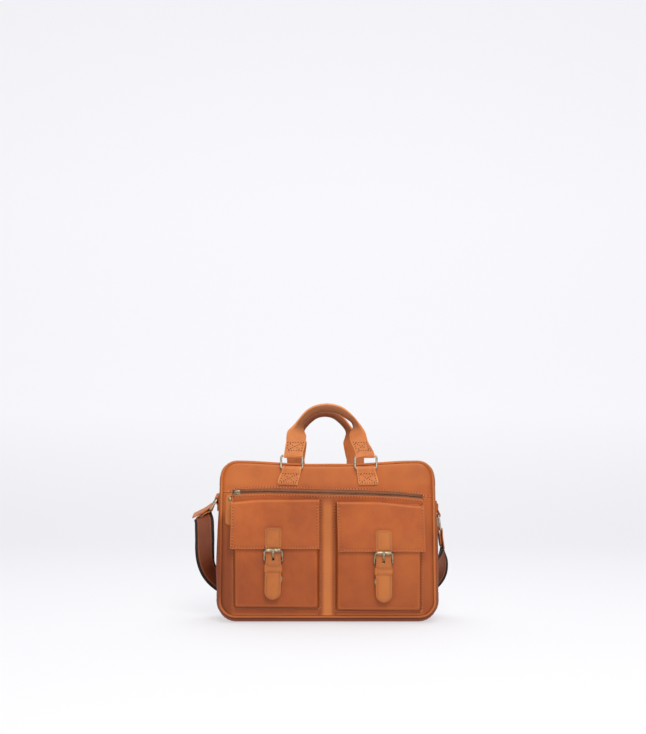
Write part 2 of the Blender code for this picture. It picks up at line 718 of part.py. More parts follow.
def make_prong(name, heel, top, metal, parent):
    """Curled round the heel bar, through the strap's hole, and resting on the roller."""
    thick = 1.1 * MM
    curl = WIRE_R + 0.4 * MM + thick / 2
    angles = [math.radians(a) for a in range(-150, 91, 30)]
    points = [heel + curl * Vector((0, math.cos(a), math.sin(a))) for a in angles]
    face = top.y - ROLLER_R - 0.35 * MM - thick / 2
    exit_y = STRAP_FRONT_Y - 0.8 * MM
    points.append(Vector((heel.x, STRAP_BACK_Y, heel.z + 4.2 * MM)))
    points.append(Vector((heel.x, exit_y, heel.z + 6.3 * MM)))
    points.append(Vector((heel.x, exit_y * 0.5 + face * 0.5, heel.z + 10.5 * MM)))
    points.append(Vector((heel.x, face + 0.6 * MM, top.z - 5.5 * MM)))
    points.append(Vector((heel.x, face, top.z - 2.5 * MM)))
    points.append(Vector((heel.x, face, top.z + 2 * MM)))
    across = [Vector((1, 0, 0))] * len(points)
    shape = strap_section(3.6 * MM, thick)
    sweep(name, points, across, lambda i: shape, metal, parent)


# ---------------------------------------------------------------- handles
def wire_ring(name, bar, along, down, half, tall, metal, parent):
    """A rectangular ring of round wire. bar is the middle of its first bar, and down leads to its other bar."""
    corner = 3.4 * MM
    points = []
    middle = bar + down * tall / 2
    for a, b in rounded_box_outline(half, tall / 2, corner, 4):
        points.append(middle + along * a + down * b)
    normal = along.cross(down)
    across = [normal] * len(points)
    return sweep(name, points, across, lambda i: round_section(RING_WIRE_R), metal, parent, True)


def folded_path(bar, lead, out, long_leg, short_leg, closeness, thick=LEATHER):
    """The middle line of leather folded over a bar. lead points from the bar along the legs, out is the
    side of the long leg, and closeness is half the distance between the middles of the two legs."""
    radius = RING_WIRE_R + 0.45 * MM + thick / 2
    far = [bar + lead * long_leg + out * closeness, bar + lead * 9 * MM + out * closeness]
    turn = []
    for k in range(7):
        a = math.radians(-10 + 200 * k / 6)
        turn.append(bar + radius * (out * math.cos(a) - lead * math.sin(a)))
    near = [bar + lead * 9 * MM - out * closeness, bar + lead * short_leg - out * closeness]
    return far + turn + near


def make_chape(name, x, axis_z, face, finish, front_leg=29 * MM):
    """Leather folded over a ring's lower bar and sewn to a panel. face is -1 for the front panel, +1 for the back."""
    bar = Vector((x, -face * RING_AXIS_Y, axis_z))
    points = folded_path(bar, Vector((0, 0, -1)), Vector((0, face, 0)), front_leg, 24 * MM, 1.25 * MM)
    push_back = Vector((0, -face * (-RING_AXIS_Y + FRONT - LEATHER / 2 - 1.25 * MM - 0.5 * MM), 0))
    points = [p + push_back if i < 2 or i > len(points) - 3 else p for i, p in enumerate(points)]
    across = [Vector((1, 0, 0))] * len(points)
    wide = HANDLE_WIDTH

    def section(i):
        flare = 3.2 * MM if i == 0 else 0
        return strap_section(wide + flare, LEATHER)

    return sweep(name, points, across, section, finish)


def handle_path(centre, foot, top, y, bar_z):
    """The middle line of a handle's leather from one folded end to the other, and each point's width,
    thickness and roundness from 0, flat, to 1, round."""
    bar = Vector((0, y, bar_z))
    face = -1 if y < 0 else 1
    apart = 1.25 * MM  # from the handle's plane to the middle of each folded layer
    fold = folded_path(bar, Vector((0, 0, 1)), Vector((0, face, 0)), 9 * MM, 20 * MM, apart)[1:]
    half = [(Vector((-foot, p.y, p.z)), HANDLE_WIDTH, LEATHER, 0.0) for p in reversed(fold)]
    rise = top - bar_z
    shape = [
        (0.24, 0.950, 34.5, 2.2, 0.0),
        (0.33, 0.905, 35.5, 3.8, 0.1),
        (0.42, 0.865, 36.0, 5.4, 0.15),
        (0.53, 0.815, 32.0, 8.5, 0.4),
        (0.62, 0.775, 21.0, 13.0, 0.8),
    ]
    for up, out, wide, thick, roundness in shape:
        lift = apart * min(1, 1.32 * (1 - up))
        at = Vector((-foot * out, y + face * lift, bar_z + rise * up))
        half.append((at, wide * MM, thick * MM, roundness))
    turn_x, turn_z = foot * 0.745, bar_z + rise * 0.70
    for k in range(1, 8):
        a = math.radians(90 * k / 7)
        at = Vector((-turn_x * math.cos(a) if k < 7 else 0, y, turn_z + (top - turn_z) * math.sin(a)))
        half.append((at, 2 * GRIP_R, 2 * GRIP_R, 1.0))
    whole = half + [(Vector((-p.x, p.y, p.z)), w, t, r) for p, w, t, r in reversed(half[:-1])]
    return [(p + Vector((centre, 0, 0)), w, t, r) for p, w, t, r in whole]


def handle_section(wide, thick, roundness, count=10):
    """A shape between a flat strap and a circle."""
    power = 2 / (8 - 6 * roundness)
    found = []
    for k in range(count):
        a = math.tau * (k + 0.5) / count
        c, s = math.cos(a), math.sin(a)
        across = math.copysign(abs(c) ** power, c) * wide / 2
        found.append((across, math.copysign(abs(s) ** power, s) * thick / 2))
    return found


def make_handle(name, centre, foot, top, y, bar_z, parent):
    path = handle_path(centre, foot, top, y, bar_z)
    points = [p for p, _, _, _ in path]
    depth = Vector((0, 1, 0))
    widths = [depth.cross(along) for along in directions(points)]
    widths = [w if p.z > bar_z + 12 * MM else Vector((1, 0, 0)) for w, p in zip(widths, points)]
    fixed = []
    for w in widths:
        if abs(w.x) < 1e-6 and abs(w.z) < 1e-6:
            w = Vector((1, 0, 0))
        keep = fixed[-1] if fixed else Vector((1, 0, 0))
        fixed.append(-w if w.dot(keep) < 0 else w.copy())
    shapes = [handle_section(w, t, r) for _, w, t, r in path]
    return sweep(name, points, fixed, lambda i: shapes[i], light_leather(), parent)


def make_handle_set(place, face, foot, top, centre, axis_z):
    y = -face * RING_AXIS_Y
    axis = pivot(f"{place}_rings_hinge", Vector((centre, y, axis_z)))
    for name, side in SIDES.items():
        x = centre + side * foot
        make_chape(f"{place}_chape_{name}", x, axis_z, face, light_leather())
        bar = Vector((x, y, axis_z))
        ring = f"{place}_ring_{name}"
        wire_ring(ring, bar, Vector((1, 0, 0)), Vector((0, 0, 1)), RING_HALF, RING_TALL, antique_metal(), axis)
    bar_z = axis_z + RING_TALL
    swing = pivot(f"{place}_handle_hinge", Vector((centre, y, bar_z)))
    make_handle(f"{place}_handle", centre, foot, top, y, bar_z, swing)


# ---------------------------------------------------------------- shoulder strap
def side_frame(side):
    """The middle of a side ring's first bar, the bar's direction, and the directions of the ring and of the
    strap's end loop away from it."""
    left = side < 0
    bar = Vector((side * SIDE_BAR_X, 0, LEFT_BAR_Z if left else RIGHT_BAR_Z))
    turn = Matrix.Rotation(LEFT_ROLL if left else 0.0, 3, "X")
    swings = (LEFT_SWING, LEFT_LOOP_SWING) if left else (RIGHT_SWING, RIGHT_SWING)
    down, lead = [turn @ Vector((side * math.sin(a), 0, -math.cos(a))) for a in swings]
    return bar, turn @ Vector((0, 1, 0)), down, lead


def make_side_ring(name, side):
    bar, along, down, lead = side_frame(side)
    finish = light_leather()
    up = along.cross(Vector((side, 0, 0))) * -1
    if (up.z > 0) == (side < 0):
        up.negate()
    legs = folded_path(bar, up, Vector((side, 0, 0)), 22 * MM, 27 * MM, 1.25 * MM)
    inward = Vector((-side * 1.4 * MM, 0, 0))
    legs = [p + inward if i < 2 or i > len(legs) - 3 else p for i, p in enumerate(legs)]
    across = [along] * len(legs)
    sweep(f"side_tab_{name}", legs, across, lambda i: strap_section(34 * MM, LEATHER), finish)
    hinge = pivot(f"side_ring_{name}_hinge", bar)
    wire_ring(f"side_ring_{name}", bar, along, down, SIDE_RING_HALF, SIDE_RING_TALL, antique_metal(), hinge)
    far_bar = bar + down * SIDE_RING_TALL
    out = along.cross(lead) * side
    if out.x * side < 0:
        out.negate()
    closeness = 1.3 * MM if side < 0 else 2.3 * MM
    reach = 33 * MM if side < 0 else 37 * MM
    legs = folded_path(far_bar, lead, out, reach, reach - 5 * MM, closeness)
    sweep(f"strap_loop_{name}", legs, [along] * len(legs), lambda i: strap_section(34 * MM, LEATHER), finish, hinge)


def strap_route():
    """The shoulder strap's middle line, in millimetres, with the direction of its width at each point:
    from under the left end loop, down past the side, behind the bag, and up to the right ring."""
    return [
        ((-235.7, 9.5, 192.4), (0.89, -0.09, 0.44)),
        ((-233.5, -6, 189.6), (0.93, -0.05, 0.36)),
        ((-230.5, -16.5, 183.5), (0.98, 0, 0.2)),
        ((-229.5, -21, 172), (1, 0, 0)),
        ((-229, -21, 152), (1, 0, 0)),
        ((-229.5, -17, 130), (0.97, 0.1, 0.2)),
        ((-229, -4, 108), (0.85, 0.25, 0.45)),
        ((-226, 20, 88), (0.6, 0.3, 0.72)),
        ((-217, 46, 70), (0.42, 0.25, 0.87)),
        ((-196, 68, 52), (0.35, 0.2, 0.9)),
        ((-165, 84, 38), (0.25, 0.1, 0.95)),
        ((-128, 94, 28), (0.12, 0, 1)),
        ((-85, 99, 23.5), (0, 0, 1)),
        ((-30, 101, 23), (0, 0, 1)),
        ((20, 101, 22), (0, 0, 1)),
        ((70, 99, 22), (0, 0, 1)),
        ((112, 95, 25), (-0.1, 0, 1)),
        ((150, 89, 33), (-0.25, 0, 0.95)),
        ((181, 80, 45), (-0.45, -0.05, 0.87)),
        ((206, 73, 62), (-0.65, -0.15, 0.7)),
        ((219.5, 60, 80), (-0.58, -0.5, 0.62)),
        ((223.5, 42, 96), (-0.4, -0.8, 0.45)),
        ((221, 21, 110), (-0.15, -0.97, 0.1)),
        ((217.8, 2, 125), (0, -1, 0)),
        ((214.8, 0, 147), (0, -1, 0)),
    ]


def make_shoulder_strap():
    route = strap_route()
    count = 100
    points = smooth_path([Vector(p) * MM for p, _ in route], count)
    reach = [0.0]
    marks = [0.0]
    for a, b in zip(points, points[1:]):
        reach.append(reach[-1] + (b - a).length)
    places = [Vector(p) * MM for p, _ in route]
    for a, b in zip(places, places[1:]):
        marks.append(marks[-1] + (b - a).length)
    widths = []
    for at in reach:
        goal = at * marks[-1] / reach[-1]
        k = max(i for i in range(len(marks) - 1) if marks[i] <= goal + 1e-9)
        share = (goal - marks[k]) / (marks[k + 1] - marks[k])
        widths.append(Vector(route[k][1]).lerp(Vector(route[k + 1][1]), min(share, 1)))
    for _ in range(6):
        between = [(a + b * 2 + c) / 4 for a, b, c in zip(widths, widths[1:], widths[2:])]
        widths = [widths[0], *between, widths[-1]]
    black, tan = ribbon_section(WEBBING_WIDTH, WEBBING_THICK), ribbon_section(STRIP_WIDTH, WEBBING_THICK, 3)
    sweep("shoulder_webbing", points, widths, lambda i: black, black_webbing())
    rise = WEBBING_THICK + 2 * GAP
    inner = slice(3, count - 3)
    sweep("shoulder_leather", points[inner], widths[inner], lambda i: tan, tan_leather(), push=rise)
    return points


def make_adjuster(points):
    """The sliding loop that the strap runs through, behind the bag."""
    behind = [p for p in points if p.y > 90 * MM]
    at = min(behind, key=lambda p: abs(p.x + 50 * MM))
    outer = rounded_box_outline(21.5 * MM, 4.6 * MM, 3 * MM, 3)
    inner = rounded_box_outline(19 * MM, 2.6 * MM, 1.5 * MM, 3)
    half = 4 * MM
    centre_y = at.y - 1 * MM
    rings = []
    for shape, x in ((outer, -half), (outer, half), (inner, half), (inner, -half)):
        rings.append([Vector((at.x + x, centre_y + b, at.z + a)) for a, b in shape])
    add("strap_adjuster", *skin(rings, closed=True), antique_metal())


def main():
    clear_scene()
    leather = tan_leather()
    make_gussets(leather)
    make_piping(leather)
    make_panels(leather)
    make_inside()
    make_front_zip()
    make_main_zip()
    for name, side in SIDES.items():
        drop = RIGHT_DROP if side > 0 else 0.0
        make_pocket(name, side, drop)
        crease = make_flap(name, side, drop)
        make_closure(name, STRAP_CENTRES[name], drop, crease, -side)
        make_side_ring(name, side)
    make_handle_set("front", -1, FRONT_FOOT, FRONT_HANDLE_TOP, FRONT_CENTRE, FRONT_AXIS_Z)
    make_handle_set("rear", 1, REAR_FOOT, REAR_HANDLE_TOP, REAR_CENTRE, REAR_AXIS_Z)
    make_adjuster(make_shoulder_strap())


main()
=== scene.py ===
"""The looks of the leather briefcase: soft leather, stitching, zips, buckles, handles and shoulder strap."""

import json
import math

import bmesh
import bpy
import numpy as np
from mathutils import Matrix, Vector, noise
from mathutils.bvhtree import BVHTree


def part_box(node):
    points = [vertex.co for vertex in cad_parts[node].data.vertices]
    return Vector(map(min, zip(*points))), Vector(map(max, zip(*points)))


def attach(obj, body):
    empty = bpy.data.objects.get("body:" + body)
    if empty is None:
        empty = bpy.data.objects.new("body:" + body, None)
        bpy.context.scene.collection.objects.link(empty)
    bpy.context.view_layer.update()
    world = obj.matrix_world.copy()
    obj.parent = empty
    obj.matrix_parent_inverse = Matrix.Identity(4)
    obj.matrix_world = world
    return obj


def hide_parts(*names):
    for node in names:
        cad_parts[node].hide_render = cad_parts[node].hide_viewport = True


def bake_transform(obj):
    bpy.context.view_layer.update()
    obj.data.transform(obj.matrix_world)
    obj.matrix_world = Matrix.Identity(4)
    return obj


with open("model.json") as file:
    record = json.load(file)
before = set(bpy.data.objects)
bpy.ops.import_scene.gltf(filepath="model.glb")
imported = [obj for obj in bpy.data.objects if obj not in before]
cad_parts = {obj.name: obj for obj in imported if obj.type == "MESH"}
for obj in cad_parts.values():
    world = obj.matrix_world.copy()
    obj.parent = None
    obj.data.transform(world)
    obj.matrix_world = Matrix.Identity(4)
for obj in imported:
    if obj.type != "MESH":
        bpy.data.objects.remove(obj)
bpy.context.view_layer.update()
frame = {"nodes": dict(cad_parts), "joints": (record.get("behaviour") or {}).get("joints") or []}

MM = 0.001
SIDES = {"left": -1, "right": 1}
DROP = {"left": 0.0, "right": 5 * MM}  # the right pocket and flap sit this much lower
X_AXIS, Y_AXIS, Z_AXIS = Vector((1, 0, 0)), Vector((0, 1, 0)), Vector((0, 0, 1))


def low_of(node):
    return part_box(node)[0]


def high_of(node):
    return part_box(node)[1]


def box_of(node):
    low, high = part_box(node)
    return Vector(low), Vector(high)


def middle_of(node):
    low, high = box_of(node)
    return (low + high) / 2


# Driving sizes, from the frame where it holds them
PIPING_R = 2.3 * MM
RIM_RADIUS = 28 * MM
RIM_LOW = low_of("front_piping")[2] + PIPING_R
RIM_HIGH = high_of("front_piping")[2] - PIPING_R
RIM_BOTTOM_HALF = high_of("front_piping")[0] - PIPING_R
RIM_TOP_HALF = RIM_BOTTOM_HALF - 4 * MM
FRONT = low_of("front_panel")[1]
PIPING_Y = 49.5 * MM
GUSSET_HALF = 46.7 * MM
ZIP_LEFT = Vector((-175 * MM, 0, 240.8 * MM))
ZIP_RIGHT = Vector((176 * MM, 0, 232.2 * MM))
ZIP_SLOT_HALF = 4.7 * MM
SLOT_END = 176.5 * MM
TOP_SAG = 6 * MM
BACK_SAG = 3.5 * MM
CREASE_Y = low_of("flap_left")[1]
FLAP_TOP = high_of("flap_fold_left")[2]
FLAP_LOW = low_of("flap_left")[2]
POCKET_NEAR = 16 * MM
POCKET_FAR = 171.5 * MM
POCKET_LOW = low_of("pocket_left")[2]
POCKET_TOP = high_of("pocket_left")[2]


# ---------------------------------------------------------------- materials
def srgb(red, green, blue):
    """A linear colour from 0 to 255 display values."""
    shares = [c / 255 for c in (red, green, blue)]
    linear = [c / 12.92 if c <= 0.04045 else ((c + 0.055) / 1.055) ** 2.4 for c in shares]
    return (*linear, 1.0)


class Graph:
    """A node material under construction."""

    def __init__(self, name, roughness=0.5, metallic=0.0):
        self.material = bpy.data.materials.new(name)
        self.material.use_nodes = True
        self.tree = self.material.node_tree
        self.shader = self.tree.nodes["Principled BSDF"]
        self.shader.inputs["Roughness"].default_value = roughness
        self.shader.inputs["Metallic"].default_value = metallic

    def put(self, target, value):
        if isinstance(value, bpy.types.NodeSocket):
            self.tree.links.new(value, target)
        else:
            target.default_value = value

    def add(self, kind, inputs, output=0, **settings):
        """A node with these inputs, by name or number, and settings. Returns the output asked for."""
        node = self.tree.nodes.new(kind)
        for setting, value in settings.items():
            setattr(node, setting, value)
        for key, value in inputs.items():
            self.put(node.inputs[key], value)
        return node.outputs[output]

    def place(self, kind="Object"):
        return self.add("ShaderNodeTexCoord", {}, kind)

    def part(self, axis, kind="Object"):
        return self.add("ShaderNodeSeparateXYZ", {"Vector": self.place(kind)}, axis)

    def noise(self, scale, detail=4.0, rough=0.55, at=None, distortion=0.0):
        inputs = {"Scale": scale, "Detail": detail, "Roughness": rough, "Distortion": distortion}
        inputs["Vector"] = at or self.place()
        return self.add("ShaderNodeTexNoise", inputs)

    def stretched(self, scales):
        return self.add("ShaderNodeMapping", {"Vector": self.place(), "Scale": scales})

    def mix(self, share, first, second):
        node = self.tree.nodes.new("ShaderNodeMix")
        node.data_type = "RGBA"
        self.put(node.inputs["Factor"], share)
        self.put(node.inputs["A"], first)
        self.put(node.inputs["B"], second)
        return node.outputs["Result"]

    def between(self, value, low, high, to_low=0.0, to_high=1.0):
        inputs = {"Value": value, "From Min": low, "From Max": high, "To Min": to_low, "To Max": to_high}
        return self.add("ShaderNodeMapRange", inputs)

    def math(self, operation, *values):
        return self.add("ShaderNodeMath", dict(enumerate(values)), operation=operation)

    def ramp(self, value, stops):
        node = self.tree.nodes.new("ShaderNodeValToRGB")
        self.put(node.inputs[0], value)
        while len(node.color_ramp.elements) < len(stops):
            node.color_ramp.elements.new(0.5)
        for element, (place, colour) in zip(node.color_ramp.elements, stops):
            element.position = place
            element.color = colour
        return node.outputs[0]

    def attribute(self, name):
        return self.add("ShaderNodeAttribute", {}, "Fac", attribute_name=name)

    def finish(self, colour=None, roughness=None, height=None, depth=0.0003, strength=0.6):
        if colour is not None:
            self.put(self.shader.inputs["Base Color"], colour)
        if roughness is not None:
            self.put(self.shader.inputs["Roughness"], roughness)
        if height is not None:
            bump = self.add("ShaderNodeBump", {"Height": height, "Distance": depth, "Strength": strength})
            self.put(self.shader.inputs["Normal"], bump)
        return self.material


def leather(name, dark, middle, light, wear_and_shade_values, grain=520.0, shine=0.5, depth=0.45):
    """Pull-up leather: cloudy colour, lighter where it bends and rubs, and a fine pebbled grain. The mesh
    attribute that carries wear and painted shade is 1 at a rubbed edge and -1 where shade is painted into
    creases, seams and hollows. depth is how much painted shade darkens it low down."""
    g = Graph(name)
    g.shader.inputs["Specular IOR Level"].default_value = 0.36
    cloud = g.noise(6.0, 4.0, 0.55, distortion=0.4)
    colour = g.ramp(cloud, [(0.08, dark), (0.50, middle), (0.84, light)])
    patches = g.noise(34.0, 5.0, 0.6)
    colour = g.mix(g.between(patches, 0.45, 0.75, 0.0, 0.3), colour, light)
    colour = g.mix(g.between(patches, 0.48, 0.28, 0.0, 0.22), colour, dark)
    # painted shade: darker low down, by depth
    colour = g.mix(g.between(g.part("Z"), 0.2, 0.0, 0.0, depth), colour, dark)
    streaks = g.noise(1.0, 3.0, 0.5, at=g.stretched((220.0, 220.0, 30.0)))
    colour = g.mix(g.between(streaks, 0.62, 0.8, 0.0, 0.18), colour, light)
    wear_and_shade = g.attribute("wear_and_shade")
    colour = g.mix(g.between(wear_and_shade, 0.0, 1.0, 0.0, 0.75), colour, wear_and_shade_values)
    # painted shade where the attribute is below 0, in creases, seams and hollows
    colour = g.mix(g.between(wear_and_shade, 0.0, -1.0, 0.0, 0.7), colour, tuple(c * 0.35 for c in dark[:3]) + (1.0,))
    cells = g.add("ShaderNodeTexVoronoi", {"Vector": g.place(), "Scale": grain, "Randomness": 1.0})
    fine = g.noise(1500.0, 2.0)
    broad = g.noise(120.0, 3.0)
    height = g.math("ADD", g.math("MULTIPLY", cells, 0.55), g.math("MULTIPLY", fine, 0.35))
    height = g.math("ADD", height, g.math("MULTIPLY", broad, 1.1))
    rough = g.between(patches, 0.3, 0.7, shine - 0.05, shine + 0.13)
    return g.finish(colour, rough, height, 0.00042, 0.55)


def metal(name, colour, tarnish, bright, roughness=0.34):
    g = Graph(name, metallic=1.0)
    spots = g.noise(260.0, 5.0, 0.7)
    shade = g.ramp(spots, [(0.32, tarnish), (0.5, colour), (0.7, bright)])
    rough = g.between(g.noise(420.0, 3.0), 0.3, 0.7, roughness - 0.08, roughness + 0.16)
    return g.finish(shade, rough, g.noise(900.0, 3.0), 0.0001, 0.35)


def webbing(name, colour, light):
    """Ribbed webbing. Its UV holds metres across and along the strap."""
    g = Graph(name, roughness=0.85)
    yarn, rib = 2.1 * MM, 1.6 * MM
    across, along = g.part("X", "UV"), g.part("Y", "UV")
    cross = g.math("SINE", g.math("MULTIPLY", across, math.tau / yarn))
    shift = g.math("MULTIPLY", cross, 0.9)
    ribs = g.math("SINE", g.math("ADD", g.math("MULTIPLY", along, math.tau / rib), shift))
    height = g.math("MULTIPLY", g.math("ADD", ribs, 1.0), g.math("ADD", g.math("ABSOLUTE", cross), 0.5))
    fuzz = g.noise(2200.0, 2.0)
    shade = g.mix(g.between(g.math("ADD", ribs, fuzz), 0.2, 2.0), colour, light)
    return g.finish(shade, None, height, 0.0003, 0.7)


def cloth(name, colour, light, pitch=0.9 * MM):
    """Plain woven cloth."""
    g = Graph(name, roughness=0.88)
    threads = []
    for axis in "XYZ":
        threads.append(g.math("SINE", g.math("MULTIPLY", g.part(axis), math.tau / pitch)))
    height = g.math("MULTIPLY", g.math("ADD", threads[0], threads[1]), g.math("ADD", threads[2], 1.4))
    shade = g.mix(g.between(g.noise(90.0), 0.3, 0.7, 0.1, 0.6), colour, light)
    return g.finish(shade, None, height, 0.00025, 0.5)


def thread(name, colour, dark):
    """Waxed thread. The mesh attribute of wear and painted shade is -1 at the holes between stitches, which
    get painted shade.
    """
    g = Graph(name, roughness=0.6)
    shade = g.mix(g.between(g.noise(700.0, 2.0), 0.35, 0.65), colour, dark)
    # painted shade colour in the holes between stitches
    shade = g.mix(g.between(g.attribute("wear_and_shade"), 0.0, -1.0), shade, srgb(84, 34, 14))
    return g.finish(shade, None, g.noise(2600.0, 1.0), 0.0001, 0.5)


def floor_finish():
    """Pale seamless paper, partly lit from within so that it stays even."""
    g = Graph("floor_finish", roughness=0.95)
    g.shader.inputs["Emission Color"].default_value = (0.97, 0.97, 1.0, 1.0)
    g.put(g.shader.inputs["Emission Strength"], g.between(g.part("Z"), 0.0, 0.5, 0.56, 0.68))
    share = g.between(g.noise(3.0), 0.3, 0.7, 0.0, 0.3)
    return g.finish(g.mix(share, (0.36, 0.36, 0.37, 1.0), (0.35, 0.35, 0.36, 1.0)))


FINE_GRAIN = 640.0
BODY_LEATHER = leather(
    "body_leather", srgb(132, 54, 12), srgb(180, 88, 32), srgb(204, 114, 50), srgb(222, 138, 70), depth=0.6
)
STRAP_LEATHER = leather(
    "strap_leather", srgb(150, 74, 26), srgb(188, 106, 46), srgb(208, 130, 64), srgb(178, 98, 42),
    FINE_GRAIN, 0.47, 0.2,
)
HANDLE_LEATHER = leather(
    "handle_leather", srgb(128, 56, 22), srgb(206, 118, 60), srgb(230, 150, 88), srgb(240, 166, 102),
    FINE_GRAIN, 0.47, 0.0,
)
EDGE_LEATHER = leather(
    "edge_leather", srgb(80, 34, 12), srgb(114, 52, 22), srgb(138, 70, 34), srgb(160, 90, 48),
    FINE_GRAIN, 0.5, 0.2,
)
ANTIQUE = metal("antique_metal_finish", srgb(158, 144, 116), srgb(96, 82, 62), srgb(204, 194, 170), 0.4)
SILVER = metal("ring_metal_finish", srgb(196, 186, 164), srgb(140, 128, 106), srgb(232, 226, 210), 0.4)
ZIP_METAL = metal("zip_metal_finish", srgb(92, 62, 44), srgb(56, 36, 26), srgb(140, 100, 70), 0.45)
WEBBING = webbing("webbing_finish", srgb(24, 18, 16), srgb(58, 46, 38))
ZIP_TAPE = cloth("zip_tape_finish", srgb(186, 122, 88), srgb(208, 146, 110))
LINING = cloth("lining_finish", srgb(92, 72, 54), srgb(118, 94, 72))
BOARD = cloth("board_finish", srgb(84, 70, 54), srgb(104, 88, 68), 2.2 * MM)
THREAD = thread("thread_finish", srgb(236, 166, 106), srgb(214, 138, 82))
DARK_THREAD = thread("dark_thread_finish", srgb(176, 104, 62), srgb(140, 78, 44))


# ---------------------------------------------------------------- mesh helpers
def wave(x, y, z, size, seed):
    """Smooth noise from -1 to 1 that changes over about size metres."""
    return noise.noise(Vector((x / size + seed, y / size - seed, z / size + 2 * seed)))


def clamp(value):
    return min(max(value, 0.0), 1.0)


def ease(value, low, high):
    """0 up to low and 1 from high on, with a smooth rise between them. low may be the greater one."""
    t = clamp((value - low) / (high - low))
    return t * t * (3 - 2 * t)


def ridge(value, at, width):
    """1 at a value, falling to nothing about two widths away."""
    return math.exp(-(((value - at) / width) ** 2))


def angles(start, end, count):
    """Radians from start to end degrees, in count steps."""
    return [math.radians(start + (end - start) * k / count) for k in range(count + 1)]


def spread(low, high, count, edges=(0, 1.0, 2.2, 3.4, 4.8, 8.0)):
    """Values from low to high, with extra ones at these millimetres from both ends."""
    near = [low + e * MM for e in edges]
    far = [high - e * MM for e in reversed(edges)]
    start, end = near[-1], far[0]
    return near[:-1] + [start + (end - start) * k / count for k in range(count + 1)] + far[1:]


def as_object(name, vertices, faces, finish, wear_and_shade=None, uv=None):
    mesh = bpy.data.meshes.new(name)
    mesh.from_pydata([tuple(v) for v in vertices], [], faces)
    if wear_and_shade is not None:
        mesh.attributes.new("wear_and_shade", "FLOAT", "POINT").data.foreach_set("value", wear_and_shade)
    if uv is not None:
        layer = mesh.uv_layers.new(name="UVMap")
        for loop in mesh.loops:
            layer.data[loop.index].uv = uv[loop.vertex_index]
    mesh.materials.append(finish)
    obj = bpy.data.objects.new(name, mesh)
    bpy.context.scene.collection.objects.link(obj)
    return obj


def face_outward(mesh):
    work = bmesh.new()
    work.from_mesh(mesh)
    bmesh.ops.recalc_face_normals(work, faces=work.faces)
    work.to_mesh(mesh)
    work.free()


def settle_normals(obj, angle=40):
    face_outward(obj.data)
    obj.data.shade_smooth()
    obj.data.set_sharp_from_angle(angle=math.radians(angle))


def soften(obj, width, limit):
    """Rounds the edges that turn by more than limit degrees."""
    bevel = obj.modifiers.new("soft_edges", "BEVEL")
    bevel.width = width
    bevel.segments = 2
    bevel.limit_method = "ANGLE"
    bevel.angle_limit = math.radians(limit)


def bake(obj, angle=40):
    """Applies the modifiers, so that the mesh is final."""
    bpy.context.view_layer.update()
    graph = bpy.context.evaluated_depsgraph_get()
    mesh = bpy.data.meshes.new_from_object(obj.evaluated_get(graph), depsgraph=graph)
    obj.modifiers.clear()
    obj.data = mesh
    settle_normals(obj, angle)
    return obj


def belongs(obj, body, replaces=()):
    """Rides on a body. Given instead two bodies and a bend, (first, second, start, end), it only has its
    transform baked.
    """
    if isinstance(body, str):
        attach(obj, body)
    else:
        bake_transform(obj)
    if replaces:
        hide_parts(*replaces)
    return obj


def sheet_of(name, rows, thick, finish, wear_and_shade=None, soft=0.5 * MM, skip=None, angle=40):
    """A sheet of leather over a grid of points, its outer side. thick goes to the inner side, soft rounds its
    cut edges, and skip(row, column) leaves a face out."""
    count = len(rows[0])
    vertices = [p for row in rows for p in row]
    faces = []
    for i in range(len(rows) - 1):
        for k in range(count - 1):
            if skip and skip(i, k):
                continue
            a = i * count + k
            faces.append((a, a + 1, a + count + 1, a + count))
    flat = None if wear_and_shade is None else [w for row in wear_and_shade for w in row]
    obj = as_object(name, vertices, faces, finish, flat)
    face_outward(obj.data)
    solid = obj.modifiers.new("thickness", "SOLIDIFY")
    solid.thickness = thick
    solid.offset = -1
    solid.use_even_offset = True
    if soft:
        soften(obj, soft, 50)
    return bake(obj, angle)


def skin(rings, closed=False):
    """Corners and faces of a tube through rings of points, capped unless its ends meet."""
    count = len(rings[0])
    vertices = [p for ring in rings for p in ring]
    faces = []
    for i in range(len(rings) if closed else len(rings) - 1):
        here = i * count
        there = (i + 1) % len(rings) * count
        for k in range(count):
            after = (k + 1) % count
            faces.append((here + k, here + after, there + after, there + k))
    if not closed:
        faces.append(tuple(range(count)))
        faces.append(tuple(range(len(vertices) - count, len(vertices))))
    return vertices, faces


def gather(name, blocks, finish, wear_and_shade=None, angle=30):
    """One piece from several sets of corners and faces."""
    vertices, faces = [], []
    for points, sides in blocks:
        first = len(vertices)
        vertices += points
        faces += [tuple(first + i for i in face) for face in sides]
    obj = as_object(name, vertices, faces, finish, wear_and_shade)
    settle_normals(obj, angle)
    return obj


def directions(points, closed=False):
    last = len(points) - 1
    found = []
    for i in range(len(points)):
        before = points[i - 1] if closed or i > 0 else points[0]
        after = points[(i + 1) % len(points)] if closed or i < last else points[last]
        found.append((after - before).normalized())
    return found


def sweep(name, points, widths, section, finish, closed=False, push=0.0, wear_and_shade=None, angle=40):
    """A section swept along points, with UV in metres across and along. widths holds the way across at each
    point, or is the same all along. section is an outline, or gives one for a point's number."""
    if isinstance(widths, Vector):
        widths = [widths] * len(points)
    rings, uv, wear_and_shade_values = [], [], []
    reach = 0.0
    for i, (point, along) in enumerate(zip(points, directions(points, closed))):
        if i:
            reach += (point - points[i - 1]).length
        wide = widths[i] - along * widths[i].dot(along)
        wide.normalize()
        up = along.cross(wide)
        corners = section(i) if callable(section) else section
        rings.append([point + wide * a + up * (b + push) for a, b in corners])
        uv += [(a + (0.05 if b > 0 else 0), reach) for a, b in corners]
        half = max(abs(a) for a, _ in corners)
        if wear_and_shade is not None:
            wear_and_shade_values += [wear_and_shade(i, a, half) for a, _ in corners]
    vertices, faces = skin(rings, closed)
    obj = as_object(name, vertices, faces, finish, wear_and_shade_values or None, uv)
    settle_normals(obj, angle)
    return obj


